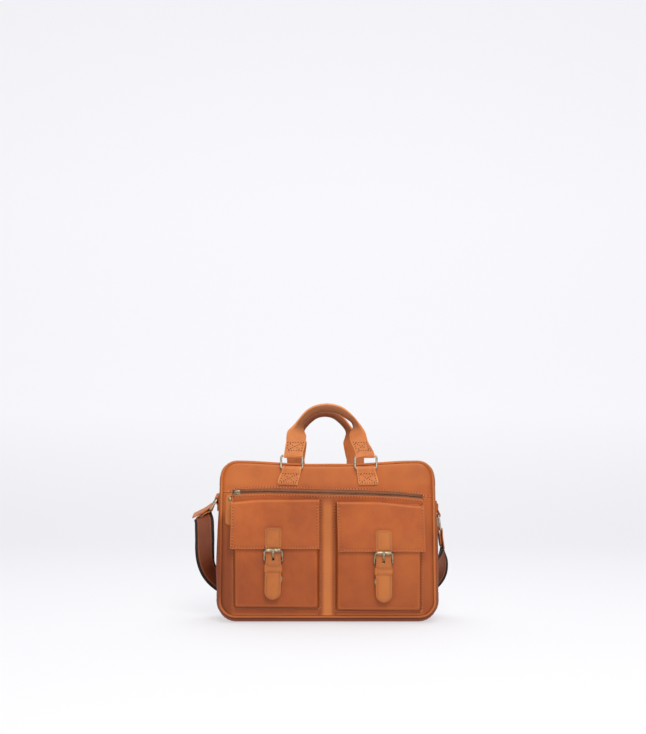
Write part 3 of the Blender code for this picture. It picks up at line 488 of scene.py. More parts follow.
def strap_section(width, thick, soft=0.6 * MM, columns=6):
    """A flat strap with rounded long edges and points across its faces."""
    half, rise = width / 2, thick / 2
    soft = min(soft, rise * 0.95)
    right = [(half - soft + soft * math.cos(a), -rise + soft + soft * math.sin(a)) for a in angles(-90, 0, 3)]
    right += [(x, -y) for x, y in reversed(right)]
    left = [(-x, -y) for x, y in right]
    inner = [(half - soft) * (2 * k / columns - 1) for k in range(1, columns)]
    return [(x, -rise) for x in inner] + right + [(x, rise) for x in reversed(inner)] + left


def round_section(radius, count=14):
    turns = [math.tau * k / count for k in range(count)]
    return [(radius * math.cos(a), radius * math.sin(a)) for a in turns]


def rounded_box_outline(half_wide, half_tall, radius, count):
    outline = []
    for corner, (sx, sz) in enumerate(((1, -1), (1, 1), (-1, 1), (-1, -1))):
        x, z = sx * (half_wide - radius), sz * (half_tall - radius)
        turns = angles(90 * corner - 90, 90 * corner, count)
        outline += [(x + radius * math.cos(a), z + radius * math.sin(a)) for a in turns]
    return outline


def turned(name, profile, centre, finish, count=40):
    """A piece turned about an axis from front to back. profile holds (radius, distance along it)."""
    turn = Matrix.Rotation(-math.pi / 2, 3, "X")
    rings = []
    for radius, along in profile:
        rings.append([centre + turn @ Vector((*p, along)) for p in round_section(radius, count)])
    obj = as_object(name, *skin(rings), finish)
    settle_normals(obj, 30)
    return obj


def spline(rows, steps):
    """Rows of numbers on a smooth curve through rows, steps for each span."""
    rows = [np.array(r, float) for r in rows]
    found = []
    for i in range(len(rows) - 1):
        p0, p1 = rows[max(i - 1, 0)], rows[i]
        p2, p3 = rows[i + 1], rows[min(i + 2, len(rows) - 1)]
        for k in range(steps):
            t = k / steps
            cubic = 2 * p1 + (p2 - p0) * t + (2 * p0 - 5 * p1 + 4 * p2 - p3) * t * t
            found.append((cubic + (3 * p1 - p0 - 3 * p2 + p3) * t**3) / 2)
    found.append(rows[-1])
    return found


def lengths_of(points):
    """How far along a line each of its points is."""
    found = [0.0]
    for a, b in zip(points, points[1:]):
        found.append(found[-1] + (b - a).length)
    return found


def even_steps(lengths, count):
    """Where count equal steps along a line fall: (point before, share of the way to the next one)."""
    found = []
    at = 0
    for k in range(count + 1):
        goal = lengths[-1] * k / count
        while at < len(lengths) - 2 and lengths[at + 1] < goal:
            at += 1
        found.append((at, clamp((goal - lengths[at]) / max(lengths[at + 1] - lengths[at], 1e-9))))
    return found


def evenly(points, spacing):
    """Points at an even spacing along a line through points."""
    lengths = lengths_of(points)
    steps = even_steps(lengths, max(1, round(lengths[-1] / spacing)))
    return [points[at].lerp(points[at + 1], share) for at, share in steps]


HOLE_R = 0.95 * MM  # the dimple between two stitches, dark with painted shade
HEXAGON = round_section(1.0, 6)
# A stitch's rings of points: share of its length, size and rise in radii
STITCH_SHAPE = ((-0.5, 0.25, -0.6), (-0.36, 0.9, 0.1), (0.0, 1.0, 0.35), (0.36, 0.9, 0.1), (0.5, 0.25, -0.6))
# Straps have finer stitches than the body
STRAP_STITCH = {"pitch": 4.5 * MM, "length": 2.4 * MM, "radius": 0.42 * MM}


class Stitching:
    """Rows of stitches laid on the surface of some pieces, gathered into one piece."""

    def __init__(self, name, targets, finish=None):
        self.name, self.finish = name, finish or THREAD
        bpy.context.view_layer.update()
        graph = bpy.context.evaluated_depsgraph_get()
        self.trees = [BVHTree.FromObject(obj, graph) for obj in targets]
        self.blocks, self.dark = [], []

    def seat(self, point, way):
        """Where a line through point along way first meets a target, and that surface's normal."""
        start = point - way * (30 * MM)
        best = None
        for tree in self.trees:
            hit, normal, _, far = tree.ray_cast(start, way, 80 * MM)
            if hit is not None and (best is None or far < best[2]):
                best = (hit, normal, far)
        if best is None:
            return None
        normal = best[1] if best[1].dot(way) < 0 else -best[1]
        return best[0], normal

    def row(self, points, way, pitch=5.4 * MM, length=2.8 * MM, radius=0.5 * MM):
        """A stitch every pitch along points, pressed onto the surface along way, with a hole after it."""
        way = Vector(way).normalized()
        marks = evenly(points, pitch)
        for a, b in zip(marks, marks[1:]):
            middle = (a + b) / 2
            along = (b - a).normalized()
            seated = self.seat(middle, way)
            if seated is None:
                continue
            at, normal = seated
            along = (along - normal * along.dot(normal)).normalized()
            self.stitch(at, along, normal, length, radius)
            self.hole(at + along * pitch / 2, along, normal, HOLE_R)

    def add(self, rings, dark):
        """Keeps one stitch or hole. dark is 0 for thread and -1 for a hole, which gets painted shade."""
        self.blocks.append(skin(rings))
        self.dark += [dark] * (len(rings) * len(rings[0]))

    def hole(self, at, along, normal, radius):
        side = along.cross(normal)
        spokes = [along * a * 1.2 + side * b for a, b in HEXAGON]
        rings = []
        for size, rise in ((1.0, -0.3), (0.9, 0.35)):
            rings.append([at + (spoke * size + normal * rise) * radius for spoke in spokes])
        self.add(rings, -1.0)

    def stitch(self, at, along, normal, length, radius):
        side = along.cross(normal)
        rings = []
        for share, size, rise in STITCH_SHAPE:
            centre = at + along * length * share + normal * radius * rise
            rings.append([centre + (side * a + normal * b) * radius * size for a, b in HEXAGON])
        self.add(rings, 0.0)

    def done(self, body, slot):
        return belongs(gather(self.name, self.blocks, self.finish, self.dark, 60), body)


# ---------------------------------------------------------------- body of the bag
def rim_half(z):
    share = (z - RIM_LOW) / (RIM_HIGH - RIM_LOW)
    return RIM_BOTTOM_HALF + (RIM_TOP_HALF - RIM_BOTTOM_HALF) * share


def zip_line(x, bow=0.0):
    """Height of the straight line between the front zip's ends, raised by bow all along its middle."""
    share = min(max((x - ZIP_LEFT.x) / (ZIP_RIGHT.x - ZIP_LEFT.x), -0.1), 1.1)
    rise = bow * (1 - min(abs(2 * share - 1), 1) ** 4)
    return ZIP_LEFT.z + (ZIP_RIGHT.z - ZIP_LEFT.z) * share + rise


def zip_height(x):
    return zip_line(x, 4.2 * MM)


def slot_edge(x, side):
    """The edge of the front zip's slot, below (-1) or above (+1) the zip."""
    into = ease(SLOT_END - abs(x), 0, 2 * MM)
    line = zip_line(x, (5.6 if side > 0 else 5.2) * MM)
    return line + side * (0.3 * MM + (ZIP_SLOT_HALF - 0.3 * MM) * into)


def sag(x, z, y=-PIPING_Y):
    """How far the top of the soft bag has sunk between its corners, and towards its back."""
    sunk = TOP_SAG * (1 - ease(abs(x), 30 * MM, 165 * MM)) + BACK_SAG * ease(y, -PIPING_Y, PIPING_Y)
    return sunk * ease(z, 252 * MM, 296 * MM)


def inset_of(x, z):
    """Distance from the rim, inwards."""
    half_tall = (RIM_HIGH - RIM_LOW) / 2
    across = abs(x) - (rim_half(z) - RIM_RADIUS)
    up = abs(z - (RIM_HIGH + RIM_LOW) / 2) - (half_tall - RIM_RADIUS)
    outside = math.hypot(max(across, 0), max(up, 0))
    return RIM_RADIUS - outside - min(max(across, up), 0)


def row_half(z, inset):
    """Half width of the front's outline at a height, moved inwards from the rim."""
    radius = RIM_RADIUS - inset
    half = rim_half(z) - RIM_RADIUS
    low, high = RIM_LOW + RIM_RADIUS, RIM_HIGH - RIM_RADIUS
    off = max(low - z, z - high, 0)
    return half + math.sqrt(max(radius * radius - off * off, 0))


def panel_point(x, z, face, seed):
    """A point of the front (face -1) or back (+1) panel: pulled in at its seam, softly uneven inside."""
    inset = max(inset_of(x, z) - 2.2 * MM, 0)
    rise = 50.2 * MM + 2.0 * MM * (1 - math.exp(-inset / (5 * MM)))
    inner = ease(inset, 2 * MM, 34 * MM)
    rise += 0.55 * MM * wave(x, 0, z, 60 * MM, seed) * inner
    rise += 0.2 * MM * wave(x, 0, z, 18 * MM, seed + 3) * inner
    if face > 0:
        rise += 1.6 * MM * math.sin(math.pi * clamp((z - RIM_LOW) / (280 * MM))) * inner
    return Vector((x, face * rise, z - sag(x, z, face * PIPING_Y)))


def panel_wear_light_and_shade(x, z):
    """Rubbed near the rim, with painted shade in its seam and low down at its sides, and painted light high
    up.
    """
    inset = inset_of(x, z)
    seam = 0.55 * (1 - ease(inset, 2.5 * MM, 7 * MM)) - 0.9 * (1 - ease(inset, 2.4 * MM, 3.4 * MM))
    shade = (0.6 if x < 0 else 0.15) * ease(abs(x), 174 * MM, 180 * MM) * (1 - ease(z, 190 * MM, 214 * MM))
    # painted light high up, and the painted shade low at the sides
    return seam + 0.2 * ease(z, 246 * MM, 262 * MM) - shade


def gap_painted_light_and_shade(x, z):
    """Painted light between the two pockets, and painted shade along their walls."""
    beside = max(0, 1 - abs(abs(x) - 15 * MM) / (4 * MM))
    share = 1 - ease(z, FLAP_TOP - 14 * MM, FLAP_TOP + 4 * MM)
    return share * (0.75 * (1 - ease(abs(x), 4 * MM, 12 * MM)) - 0.45 * beside)


SEAM_INSET = 2.3 * MM  # from the rim's line to a panel's edge


def front_panels():
    """The front's leather below the zip and above it."""
    columns = [2 * k / 64 - 1 for k in range(65)]

    def grid(side, far, rows):
        """Points and wear from the height far to the slot's edge below (-1) or above (+1) the zip."""

        def height(x, v):
            low, high = (far, slot_edge(x, -1)) if side < 0 else (slot_edge(x, 1), far)
            return low + (high - low) * v

        points, wear_and_shade_values = [], []
        for v in rows:
            line, marks = [], []
            for u in columns:
                z = height(0, v)
                for _ in range(4):
                    x = row_half(z, SEAM_INSET) * u
                    z = height(x, v)
                line.append(panel_point(x, z, -1, 1.7))
                edge = 0.5 * (1 - ease(abs(z - slot_edge(x, side)), 0, 2.5 * MM))
                marks.append(panel_wear_light_and_shade(x, z) + gap_painted_light_and_shade(x, z) + edge)
            points.append(line)
            wear_and_shade_values.append(marks)
        return points, wear_and_shade_values

    ends_at = [(SLOT_END + e * MM) / rim_half(ZIP_LEFT.z) for e in (-1.5, -0.5, 2)]
    gap_at = [e * MM / RIM_BOTTOM_HALF for e in (3, 5, 7, 9, 11, 13, 15, 17, 20)]
    columns = sorted(set(columns + [s * u for s in (-1, 1) for u in ends_at + gap_at]))
    rows = [0, 0.004, 0.012, 0.024, 0.04, 0.06, 0.085, 0.11] + [0.11 + 0.86 * k / 40 for k in range(1, 41)]
    rows += [0.985, 0.993, 1.0]
    points, wear_and_shade_values = grid(-1, RIM_LOW + SEAM_INSET, rows)
    lower = sheet_of("front_panel_leather", points, 2.4 * MM, BODY_LEATHER, wear_and_shade_values, 0.4 * MM)
    belongs(lower, "bag", ["front_panel"])
    rows = [0, 0.02, 0.05, 0.08, 0.12] + [0.12 + 0.7 * k / 12 for k in range(1, 13)]
    rows += [0.86, 0.9, 0.93, 0.96, 0.98, 0.99, 1.0]
    points, wear_and_shade_values = grid(1, RIM_HIGH - SEAM_INSET, rows)
    proud = []
    for v, row in zip(rows, points):
        proud.append([p + Vector((0, -0.7 * MM, 0)) * (1 - ease(v, 0.0, 0.7)) for p in row])
    upper = sheet_of("front_panel_top_leather", proud, 2.6 * MM, BODY_LEATHER, wear_and_shade_values, 0.5 * MM)
    belongs(upper, "bag", ["front_panel_top"])
    return lower, upper


def back_panel():
    columns = [2 * k / 56 - 1 for k in range(57)]
    rows = [0, 0.004, 0.012, 0.03, 0.06] + [0.06 + 0.88 * k / 44 for k in range(1, 45)]
    rows += [0.97, 0.988, 0.996, 1.0]
    points, wear_and_shade_values = [], []
    for v in rows:
        z = RIM_LOW + SEAM_INSET + (RIM_HIGH - RIM_LOW - 2 * SEAM_INSET) * v
        line = [panel_point(row_half(z, SEAM_INSET) * u, z, 1, 5.1) for u in columns]
        points.append(line)
        wear_and_shade_values.append([panel_wear_light_and_shade(p.x, z) for p in line])
    panel = sheet_of("back_panel_leather", points, 2.4 * MM, BODY_LEATHER, wear_and_shade_values, 0.4 * MM)
    belongs(panel, "bag", ["back_panel"])


def rim_stations(spacing=5 * MM):
    """Points right round the rim from the middle of its bottom, as (x, z, outward x, outward z)."""
    low_half, high_half = RIM_BOTTOM_HALF - RIM_RADIUS, RIM_TOP_HALF - RIM_RADIUS
    low, high = RIM_LOW + RIM_RADIUS, RIM_HIGH - RIM_RADIUS

    def corner(x, z, start):
        ways = [(math.cos(a), math.sin(a)) for a in angles(start, start + 90, 8)]
        return [(x + RIM_RADIUS * nx, z + RIM_RADIUS * nz, nx, nz) for nx, nz in ways]

    count = round(low_half / spacing)
    found = [(low_half * k / count, RIM_LOW, 0.0, -1.0) for k in range(count)] + corner(low_half, low, -90)
    count = round((high - low) / spacing)
    for k in range(1, count):
        z = low + (high - low) * k / count
        found.append((rim_half(z), z, 1.0, 0.0))
    found += corner(high_half, high, 0)
    count = round(high_half / spacing)
    found += [(high_half * (1 - k / count), RIM_HIGH, 0.0, 1.0) for k in range(1, count + 1)]
    left = [(-x, z, -nx, nz) for x, z, nx, nz in reversed(found[1:-1])]
    return found + left


GUSSET_SEED = 2.3
# How far a side gusset's middle stands out, in millimetres, at shares of the bag's height
GUSSET_SWELL = ((0, 0.3, 0.55, 0.7, 1), (7.0, 10.0, 9.0, 6.1, 4.0))


def gusset_bulge(x, z, nx, nz):
    """How far the gusset's middle stands out from the rim."""
    side = float(np.interp((z - RIM_LOW) / (RIM_HIGH - RIM_LOW), *GUSSET_SWELL)) * MM
    if nz < 0:
        return side * nx * nx + 12 * MM * nz * nz
    if nz > 0:
        turn = 1 - ease(nx if x > 0 else -nx, 0.0, 1.0)
        flat = -ease(RIM_TOP_HALF - RIM_RADIUS - abs(x), -4 * MM, 22 * MM) * 7 * MM
        return side * (1 - turn) + flat * (1 if abs(nx) < 1e-6 else 0)
    return side


def gusset_point(station, y, lift):
    x, z, nx, nz = station
    share = abs(y) / GUSSET_HALF
    if nz < -0.5:
        profile = math.sqrt(max(1 - share**5, 0)) if share < 1 else 0.0
    else:
        profile = 1 - ease(share, 0.70 if nz <= 0 else 0.6, 1.0)
    bulge = gusset_bulge(x, z, nx, nz) * profile
    calm = (1 - share**4) * (0.35 if nz > 0 else 1.0)
    if nz < -0.9:
        calm *= 0.15
    bulge += 0.8 * MM * wave(x, y, z, 42 * MM, GUSSET_SEED) * calm
    out = bulge + 0.25 * MM * wave(x, y, z, 14 * MM, GUSSET_SEED + 1) * calm + lift
    return Vector((x + nx * out, y, z + nz * out - sag(x, z, y)))


def gusset_part(name, stations, lift=0.0, skip_middle=False):
    """A strip of the gusset through stations of the rim. skip_middle leaves the opening of the top zip."""
    ys = spread(-GUSSET_HALF, GUSSET_HALF, 22, (0, 1.2, 3.0, 5.5, 9.0))
    if skip_middle:
        ys = sorted([y for y in ys if abs(y) > 7.5 * MM] + [-6.6 * MM, -6 * MM, 6 * MM, 6.6 * MM])
    points = [[gusset_point(s, y, lift) for y in ys] for s in stations]
    wear_and_shade_values = []
    for i in range(len(stations)):
        at_end = i in (0, len(stations) - 1)
        line = []
        for y in ys:
            near = GUSSET_HALF - abs(y)
            # painted shade in the seams along the strip's long edges, fading over the next few centimetres;
            # lighter at the strip's ends
            rim = 0.8 * (1 - ease(near, 0, 2.5 * MM)) + 0.55 * (1 - ease(near, 8 * MM, 40 * MM))
            line.append((0.5 if at_end else 0.0) - rim)
        wear_and_shade_values.append(line)
    middle = len(ys) // 2 - 1

    def skip(i, k):
        return skip_middle and k == middle and abs(stations[i][0]) < 152 * MM and stations[i][3] > 0.99

    part = sheet_of(f"{name}_leather", points, 2.2 * MM, BODY_LEATHER, wear_and_shade_values, 0.4 * MM, skip)
    belongs(part, "bag", [name])


def gussets():
    around = rim_stations()
    count = len(around)
    seam_low = high_of("bottom_gusset")[2]
    seam_high = low_of("top_gusset")[2]
    right_bottom = [s for s in around[: count // 2] if s[1] < seam_low and s[3] <= 0]
    right_bottom.append((rim_half(seam_low), seam_low, 1.0, 0.0))
    left_bottom = [(-x, z, -nx, nz) for x, z, nx, nz in reversed(right_bottom[1:])]
    gusset_part("bottom_gusset", left_bottom + right_bottom, 0.5 * MM)
    levels = spread(seam_low, seam_high, 36, (0, 1.5, 4.0))
    for name, side in SIDES.items():
        stations = [(side * rim_half(z), z, float(side), 0.0) for z in levels]
        gusset_part(f"{name}_gusset", stations)
    rise = [(rim_half(seam_high), seam_high, 1.0, 0.0)]
    rise += [s for s in around[: count // 2] if s[1] > seam_high and s[3] >= 0]
    mirrored = rise[:-1] if rise[-1][0] < 1e-6 else rise
    top = rise + [(-x, z, -nx, nz) for x, z, nx, nz in reversed(mirrored)]
    gusset_part("top_gusset", top, 0.4 * MM, skip_middle=True)


def piping_wear_and_shade(p):
    """Rubbed all round, with painted shade low on the front's left side."""
    low = ease(p.z, 30 * MM, 62 * MM) * (1 - ease(p.z, 178 * MM, 212 * MM))
    return 0.35 - (0.85 * low if p.y < 0 and p.x < -150 * MM else 0)


def piping():
    around = rim_stations(4 * MM)
    for name, y in (("front", -PIPING_Y), ("rear", PIPING_Y)):
        points = []
        for x, z, nx, nz in around:
            swell = 0.25 * MM * wave(x, y, z, 30 * MM, 7.0)
            points.append(Vector((x + nx * swell, y, z + nz * swell - sag(x, z, y))))
        wear_and_shade_values = [piping_wear_and_shade(p) for p in points]
        cord = sweep(
            f"{name}_piping_leather", points, Y_AXIS, round_section(PIPING_R, 12), BODY_LEATHER, closed=True,
            wear_and_shade=lambda i, a, half: wear_and_shade_values[i], angle=80,
        )
        belongs(cord, "bag", [f"{name}_piping"])


# ---------------------------------------------------------------- zips
def strip_block(place, size, turn, bevel=0.25):
    """Corners and faces of a small block with its long edges cut, for teeth."""
    a, b, c = (s / 2 for s in size)
    k = min(a, b) * bevel
    ring = [(-a + k, -b), (a - k, -b), (a, -b + k), (a, b - k)]
    ring += [(-x, -y) for x, y in ring]
    rings = [[place + turn @ Vector((x, y, z)) for x, y in ring] for z in (-c, c)]
    return skin(rings)


TOOTH_PITCH = 1.25 * MM
TOOTH_SIZE = (0.95 * MM, 1.5 * MM, 3.0 * MM)


def teeth(name, reach, place, turn, replaced=()):
    """A zip's teeth over a reach, to one side and the other in turn. place(distance, offset) is a tooth's."""
    blocks = []
    for k in range(int(reach / TOOTH_PITCH)):
        at = place(TOOTH_PITCH * (k + 0.5), 0.75 * MM * (1 if k % 2 else -1))
        blocks.append(strip_block(at, TOOTH_SIZE, turn))
    belongs(gather(name, blocks, ZIP_METAL), "bag", replaced)


def front_zip():
    along = (ZIP_RIGHT - ZIP_LEFT).normalized()
    up = Vector((-along.z, 0, along.x))
    rows = []
    for across in (-12, -6, -2.6, -2.2, 2.2, 2.6, 6, 12):
        line = []
        for k in range(61):
            x = ZIP_LEFT.x - 7 * MM + (ZIP_RIGHT.x - ZIP_LEFT.x + 14 * MM) * k / 60
            y = FRONT + 3.3 * MM - (0.7 * MM if abs(across) < 2.4 else 0)
            line.append(Vector((x, y, zip_height(x) + across * MM)))
        rows.append(line)
    tape = sheet_of("front_zip_tape_cloth", rows, 0.7 * MM, ZIP_TAPE, None, 0)
    belongs(tape, "bag", ["front_zip_tape"])

    def place(distance, offset):
        x = ZIP_LEFT.x + along.x * distance
        return Vector((x, FRONT + 2.35 * MM, zip_height(x) + offset))

    turn = Matrix((along, Y_AXIS, up)).transposed()
    reach = (ZIP_RIGHT - ZIP_LEFT).length
    teeth("front_zip_teeth", reach, place, turn, ["front_zip_chain"])
    x = ZIP_LEFT.x + 9 * MM
    slider("front_zip_slider", Vector((x, FRONT + 1.7 * MM, zip_height(x))), along, up, -Y_AXIS)
    front_pull()


def slider(node, base, along, up, out):
    """A zip slider: a waisted shield with a bridge on top."""
    shield = [(-5.6, 2.4), (-4.6, 3.6), (-1.0, 3.9), (3.4, 4.4), (5.2, 4.0), (5.6, 2.6)]
    outline = shield + [(a, -b) for a, b in reversed(shield)]
    rings = []
    for rise, size in ((0.0, 0.96), (0.3, 1.0), (1.0, 1.0), (1.35, 0.94)):
        size *= MM
        rings.append([base + along * a * size + up * b * size + out * rise * MM for a, b in outline])
    blocks = [skin(rings)]
    bridge = [(-4.6, 1.0), (-4.4, 2.2), (-3.4, 3.2), (-1.6, 3.5), (0.4, 3.3), (1.6, 2.4), (2.2, 1.0)]
    path = [base + along * a * MM + out * b * MM for a, b in bridge]
    ways = directions(path)
    rings = []
    bar = ((-1.2, -0.45), (1.2, -0.45), (1.2, 0.45), (-1.2, 0.45))
    for p, d in zip(path, ways):
        lift = d.cross(up)
        rings.append([p + up * a * MM + lift * b * MM for a, b in bar])
    blocks.append(skin(rings))
    obj = gather(f"{node}_metal", blocks, ANTIQUE)
    soften(obj, 0.25 * MM, 30)
    belongs(bake(obj, 30), f"{node}_body", [node])


def half_width_rows(levels, half_at, centre, y_at, columns):
    """Rows of points at heights, each from -half to +half about a centre line."""
    rows = []
    for z in levels:
        half = half_at(z)
        rows.append([Vector((centre(z) + half * u, y_at(u, z), z)) for u in columns])
    return rows


def tag_levels(low, high, radius, count):
    """Heights from high down to low, closer together round the tip's curve."""
    turn = [low + radius * (1 - math.cos(math.radians(90 * k / 10))) for k in range(11)]
    straight = [low + radius + (high - low - radius) * k / count for k in range(1, count + 1)]
    return (turn + straight)[::-1]


def front_pull():
    low, high = box_of("front_zip_pull")
    centre = (low.x + high.x) / 2
    half = (high.x - low.x) / 2

    def half_at(z):
        tip = max(low.z + half - z, 0)
        width = math.sqrt(max(half * half - tip * tip, (0.02 * half) ** 2))
        return width * (1 - 0.38 * ease(z, high.z - 12 * MM, high.z))

    columns = [-1, -0.93, -0.8, -0.55, -0.28, 0, 0.28, 0.55, 0.8, 0.93, 1]
    levels = tag_levels(low.z, high.z, half, 22)

    def y_at(u, z):
        return low.y - 0.2 * MM * (1 - abs(u) ** 3) - 0.3 * MM * wave(0.1, 0, z, 20 * MM, 4)

    def middle_at(z):
        return centre - 0.5 * MM * ease(z, high.z - 20 * MM, low.z)

    rows = half_width_rows(levels, half_at, middle_at, y_at, columns)
    wear_and_shade_values = [[0.9 * ease(abs(u), 0.82, 1.0) for u in columns] for _ in levels]
    tag = sheet_of("front_zip_pull_leather", rows, 2.4 * MM, STRAP_LEATHER, wear_and_shade_values, 0.5 * MM)
    belongs(tag, "front_zip_pull_body", ["front_zip_pull"])
    at = middle_of("front_zip_pull_rivet")
    face = low_of("front_zip_pull_rivet")[1]
    cap = [(0.2, 0.0), (1.4, 0.15), (2.6, 0.5), (3.5, 1.0), (4.0, 1.6), (3.9, 1.9), (1.3, 1.9), (1.3, 4.2)]
    profile = [(r * MM, face + y * MM) for r, y in cap]
    rivet = turned("front_zip_pull_rivet_metal", profile, Vector((at.x, 0, at.z)), ANTIQUE, count=32)
    belongs(rivet, "front_zip_pull_body", ["front_zip_pull_rivet"])
    link = [(0, 0), (3.5, 2.5), (7, 4.5), (10, 5.5)]
    link = [(at.x + (1 + a) * MM, face + 0.8 * MM, at.z + (4 + b) * MM) for a, b in link]
    points = [Vector(p) for p in spline(link, 5)]
    wire = sweep("front_zip_pull_link", points, Y_AXIS, round_section(0.8 * MM, 10), ANTIQUE)
    belongs(wire, "front_zip_pull_body")


def main_zip():
    half = 149.5 * MM
    level = high_of("main_zip_chain")[2] - 1.6 * MM
    rows = []
    for y in (-15, -8, -2.6, -2.2, 2.2, 2.6, 8, 15):
        lift = 0.5 * MM if abs(y) < 2.4 else 0
        rows.append([Vector((half * (k / 30 - 1), y * MM, level - 0.2 * MM + lift)) for k in range(61)])
    tape = sheet_of("main_zip_tape_cloth", rows, 0.7 * MM, ZIP_TAPE, None, 0)
    belongs(tape, "bag", ["main_zip_chain"])

    def place(distance, offset):
        return Vector((distance - half, offset, level + 0.95 * MM))

    teeth("main_zip_teeth", 2 * half, place, Matrix(((1, 0, 0), (0, 0, 1), (0, 1, 0))))
    low, high = box_of("main_zip_slider")
    slider("main_zip_slider", Vector(((low.x + high.x) / 2, 0, low.z)), X_AXIS, Y_AXIS, Z_AXIS)
    low, high = box_of("main_zip_pull")
    columns = [-1, -0.9, -0.7, -0.35, 0, 0.35, 0.7, 0.9, 1]
    rows, wear_and_shade_values = [], []
    length = high.x - low.x
    wide = (high.y - low.y) / 2
    for k in range(33):
        share = k / 32
        x = low.x + length * share
        half_here = wide * (0.46 + 0.54 * ease(share, 0.0, 0.2))
        tip = max(share - 0.88, 0) / 0.12
        half_here *= math.sqrt(max(1 - tip * tip, 0.01))
        z = high.z + 0.3 * MM * wave(x, 0, 0, 15 * MM, 3)
        rows.append([Vector((x, u * half_here, z)) for u in columns])
        wear_and_shade_values.append([0.9 * ease(abs(u), 0.8, 1.0) for u in columns])
    tag = sheet_of("main_zip_pull_leather", rows, 2.0 * MM, STRAP_LEATHER, wear_and_shade_values, 0.4 * MM)
    belongs(tag, "main_zip_pull_body", ["main_zip_pull"])


# ---------------------------------------------------------------- pockets and flaps
# Share of a pocket's depth at a distance in millimetres from its side: a sewn edge, a steep wall and a soft
# shoulder
WALL_PROFILE = (
    (-4.4, 0.03), (-3.2, 0.07), (-2.0, 0.06), (-0.9, 0.05), (-0.2, 0.09), (0.3, 0.24), (0.8, 0.44),
    (1.5, 0.63), (2.4, 0.77), (3.6, 0.875), (5.2, 0.945), (7.4, 0.985), (10.0, 1.0),
)


def pocket(name, side):
    drop = DROP[name]
    low, top = POCKET_LOW - drop, POCKET_TOP - drop
    left, right = sorted((side * POCKET_NEAR, side * POCKET_FAR))
    across = [(left + d * MM, p) for d, p in WALL_PROFILE]
    inner = [left + (10 + (right - left - 20 * MM) / MM * k / 24) * MM for k in range(1, 24)]
    across += [(x, 1.0) for x in inner]
    across += [(right - d * MM, p) for d, p in reversed(WALL_PROFILE)]
    down = [(top, 1.0)] + [(top - (top - low - 10 * MM) * k / 30, 1.0) for k in range(1, 30)]
    down += [(low + d * MM, p) for d, p in reversed(WALL_PROFILE)]
    rows, wear_and_shade_values = [], []
    seed = 11.0 + side
    for z, q in down:
        depth = 15 * MM + 6.2 * MM * clamp((z - low) / (top - low))
        line, marks = [], []
        for x, p in across:
            share = (x - left) / (right - left)
            crown = 0.45 * MM * math.sin(math.pi * clamp(share)) * p * q
            uneven = 0.45 * MM * wave(x, 0, z, 35 * MM, seed) * p * q
            fall = (0.7 * MM * wave(x, 3, z, 50 * MM, seed) - 3 * MM * share + 1 * MM) * (1 - q)
            line.append(Vector((x, FRONT + 0.2 * MM - depth * p * q - crown - uneven, z + fall)))
            edge = p * q
            # rim lightens the pocket's shoulder; foot is painted shade in the crease at the foot of its wall
            rim = 0.35 * max(0, 1 - abs(edge - 0.9) / 0.09)
            foot = 0.8 * max(0, 1 - abs(edge - 0.15) / 0.14)
            marks.append(rim - foot + (0.4 if min(p, q) < 0.05 else 0))
        rows.append(line)
        wear_and_shade_values.append(marks)
    body = sheet_of(f"pocket_{name}_leather", rows, 2.0 * MM, BODY_LEATHER, wear_and_shade_values, 0.4 * MM, angle=60)
    belongs(body, "bag", [f"pocket_{name}"])
    rows = Stitching(f"pocket_{name}_stitches", [body])
    outside = 2.7 * MM
    left, right, low = left - outside, right + outside, low - outside
    corners = [Vector((x, FRONT, z)) for x, z in ((left, top), (left, low), (right, low), (right, top))]
    for a, b in zip(corners, corners[1:]):
        rows.row([a, b], Y_AXIS)
    rows.done("bag", "tan_leather")


def flap_sides(name, side, z):
    """The left and right edges of a flap at a height."""
    top = FLAP_TOP - DROP[name]
    share = clamp((top - z) / (top - FLAP_LOW + DROP[name]))
    near = POCKET_NEAR + (1 if side > 0 else -1) * MM + (2.5 * MM * share if side > 0 else 0)
    flare = 6 * MM if side < 0 else 7 * MM
    far = POCKET_FAR + flare * (0.6 + 0.4 * share)
    return (-far, -near) if side < 0 else (near, far)


def flap_droop(side, x):
    """How far a flap's top hangs below its straight line towards the outer corner."""
    if side < 0:
        return 4 * MM * ease(-x, 115 * MM, 176 * MM)
    return 8 * MM * ease(x, 80 * MM, 180 * MM) - 1 * MM


FLAP_SEAM = 3.4 * MM  # from a flap's edge to its stitches


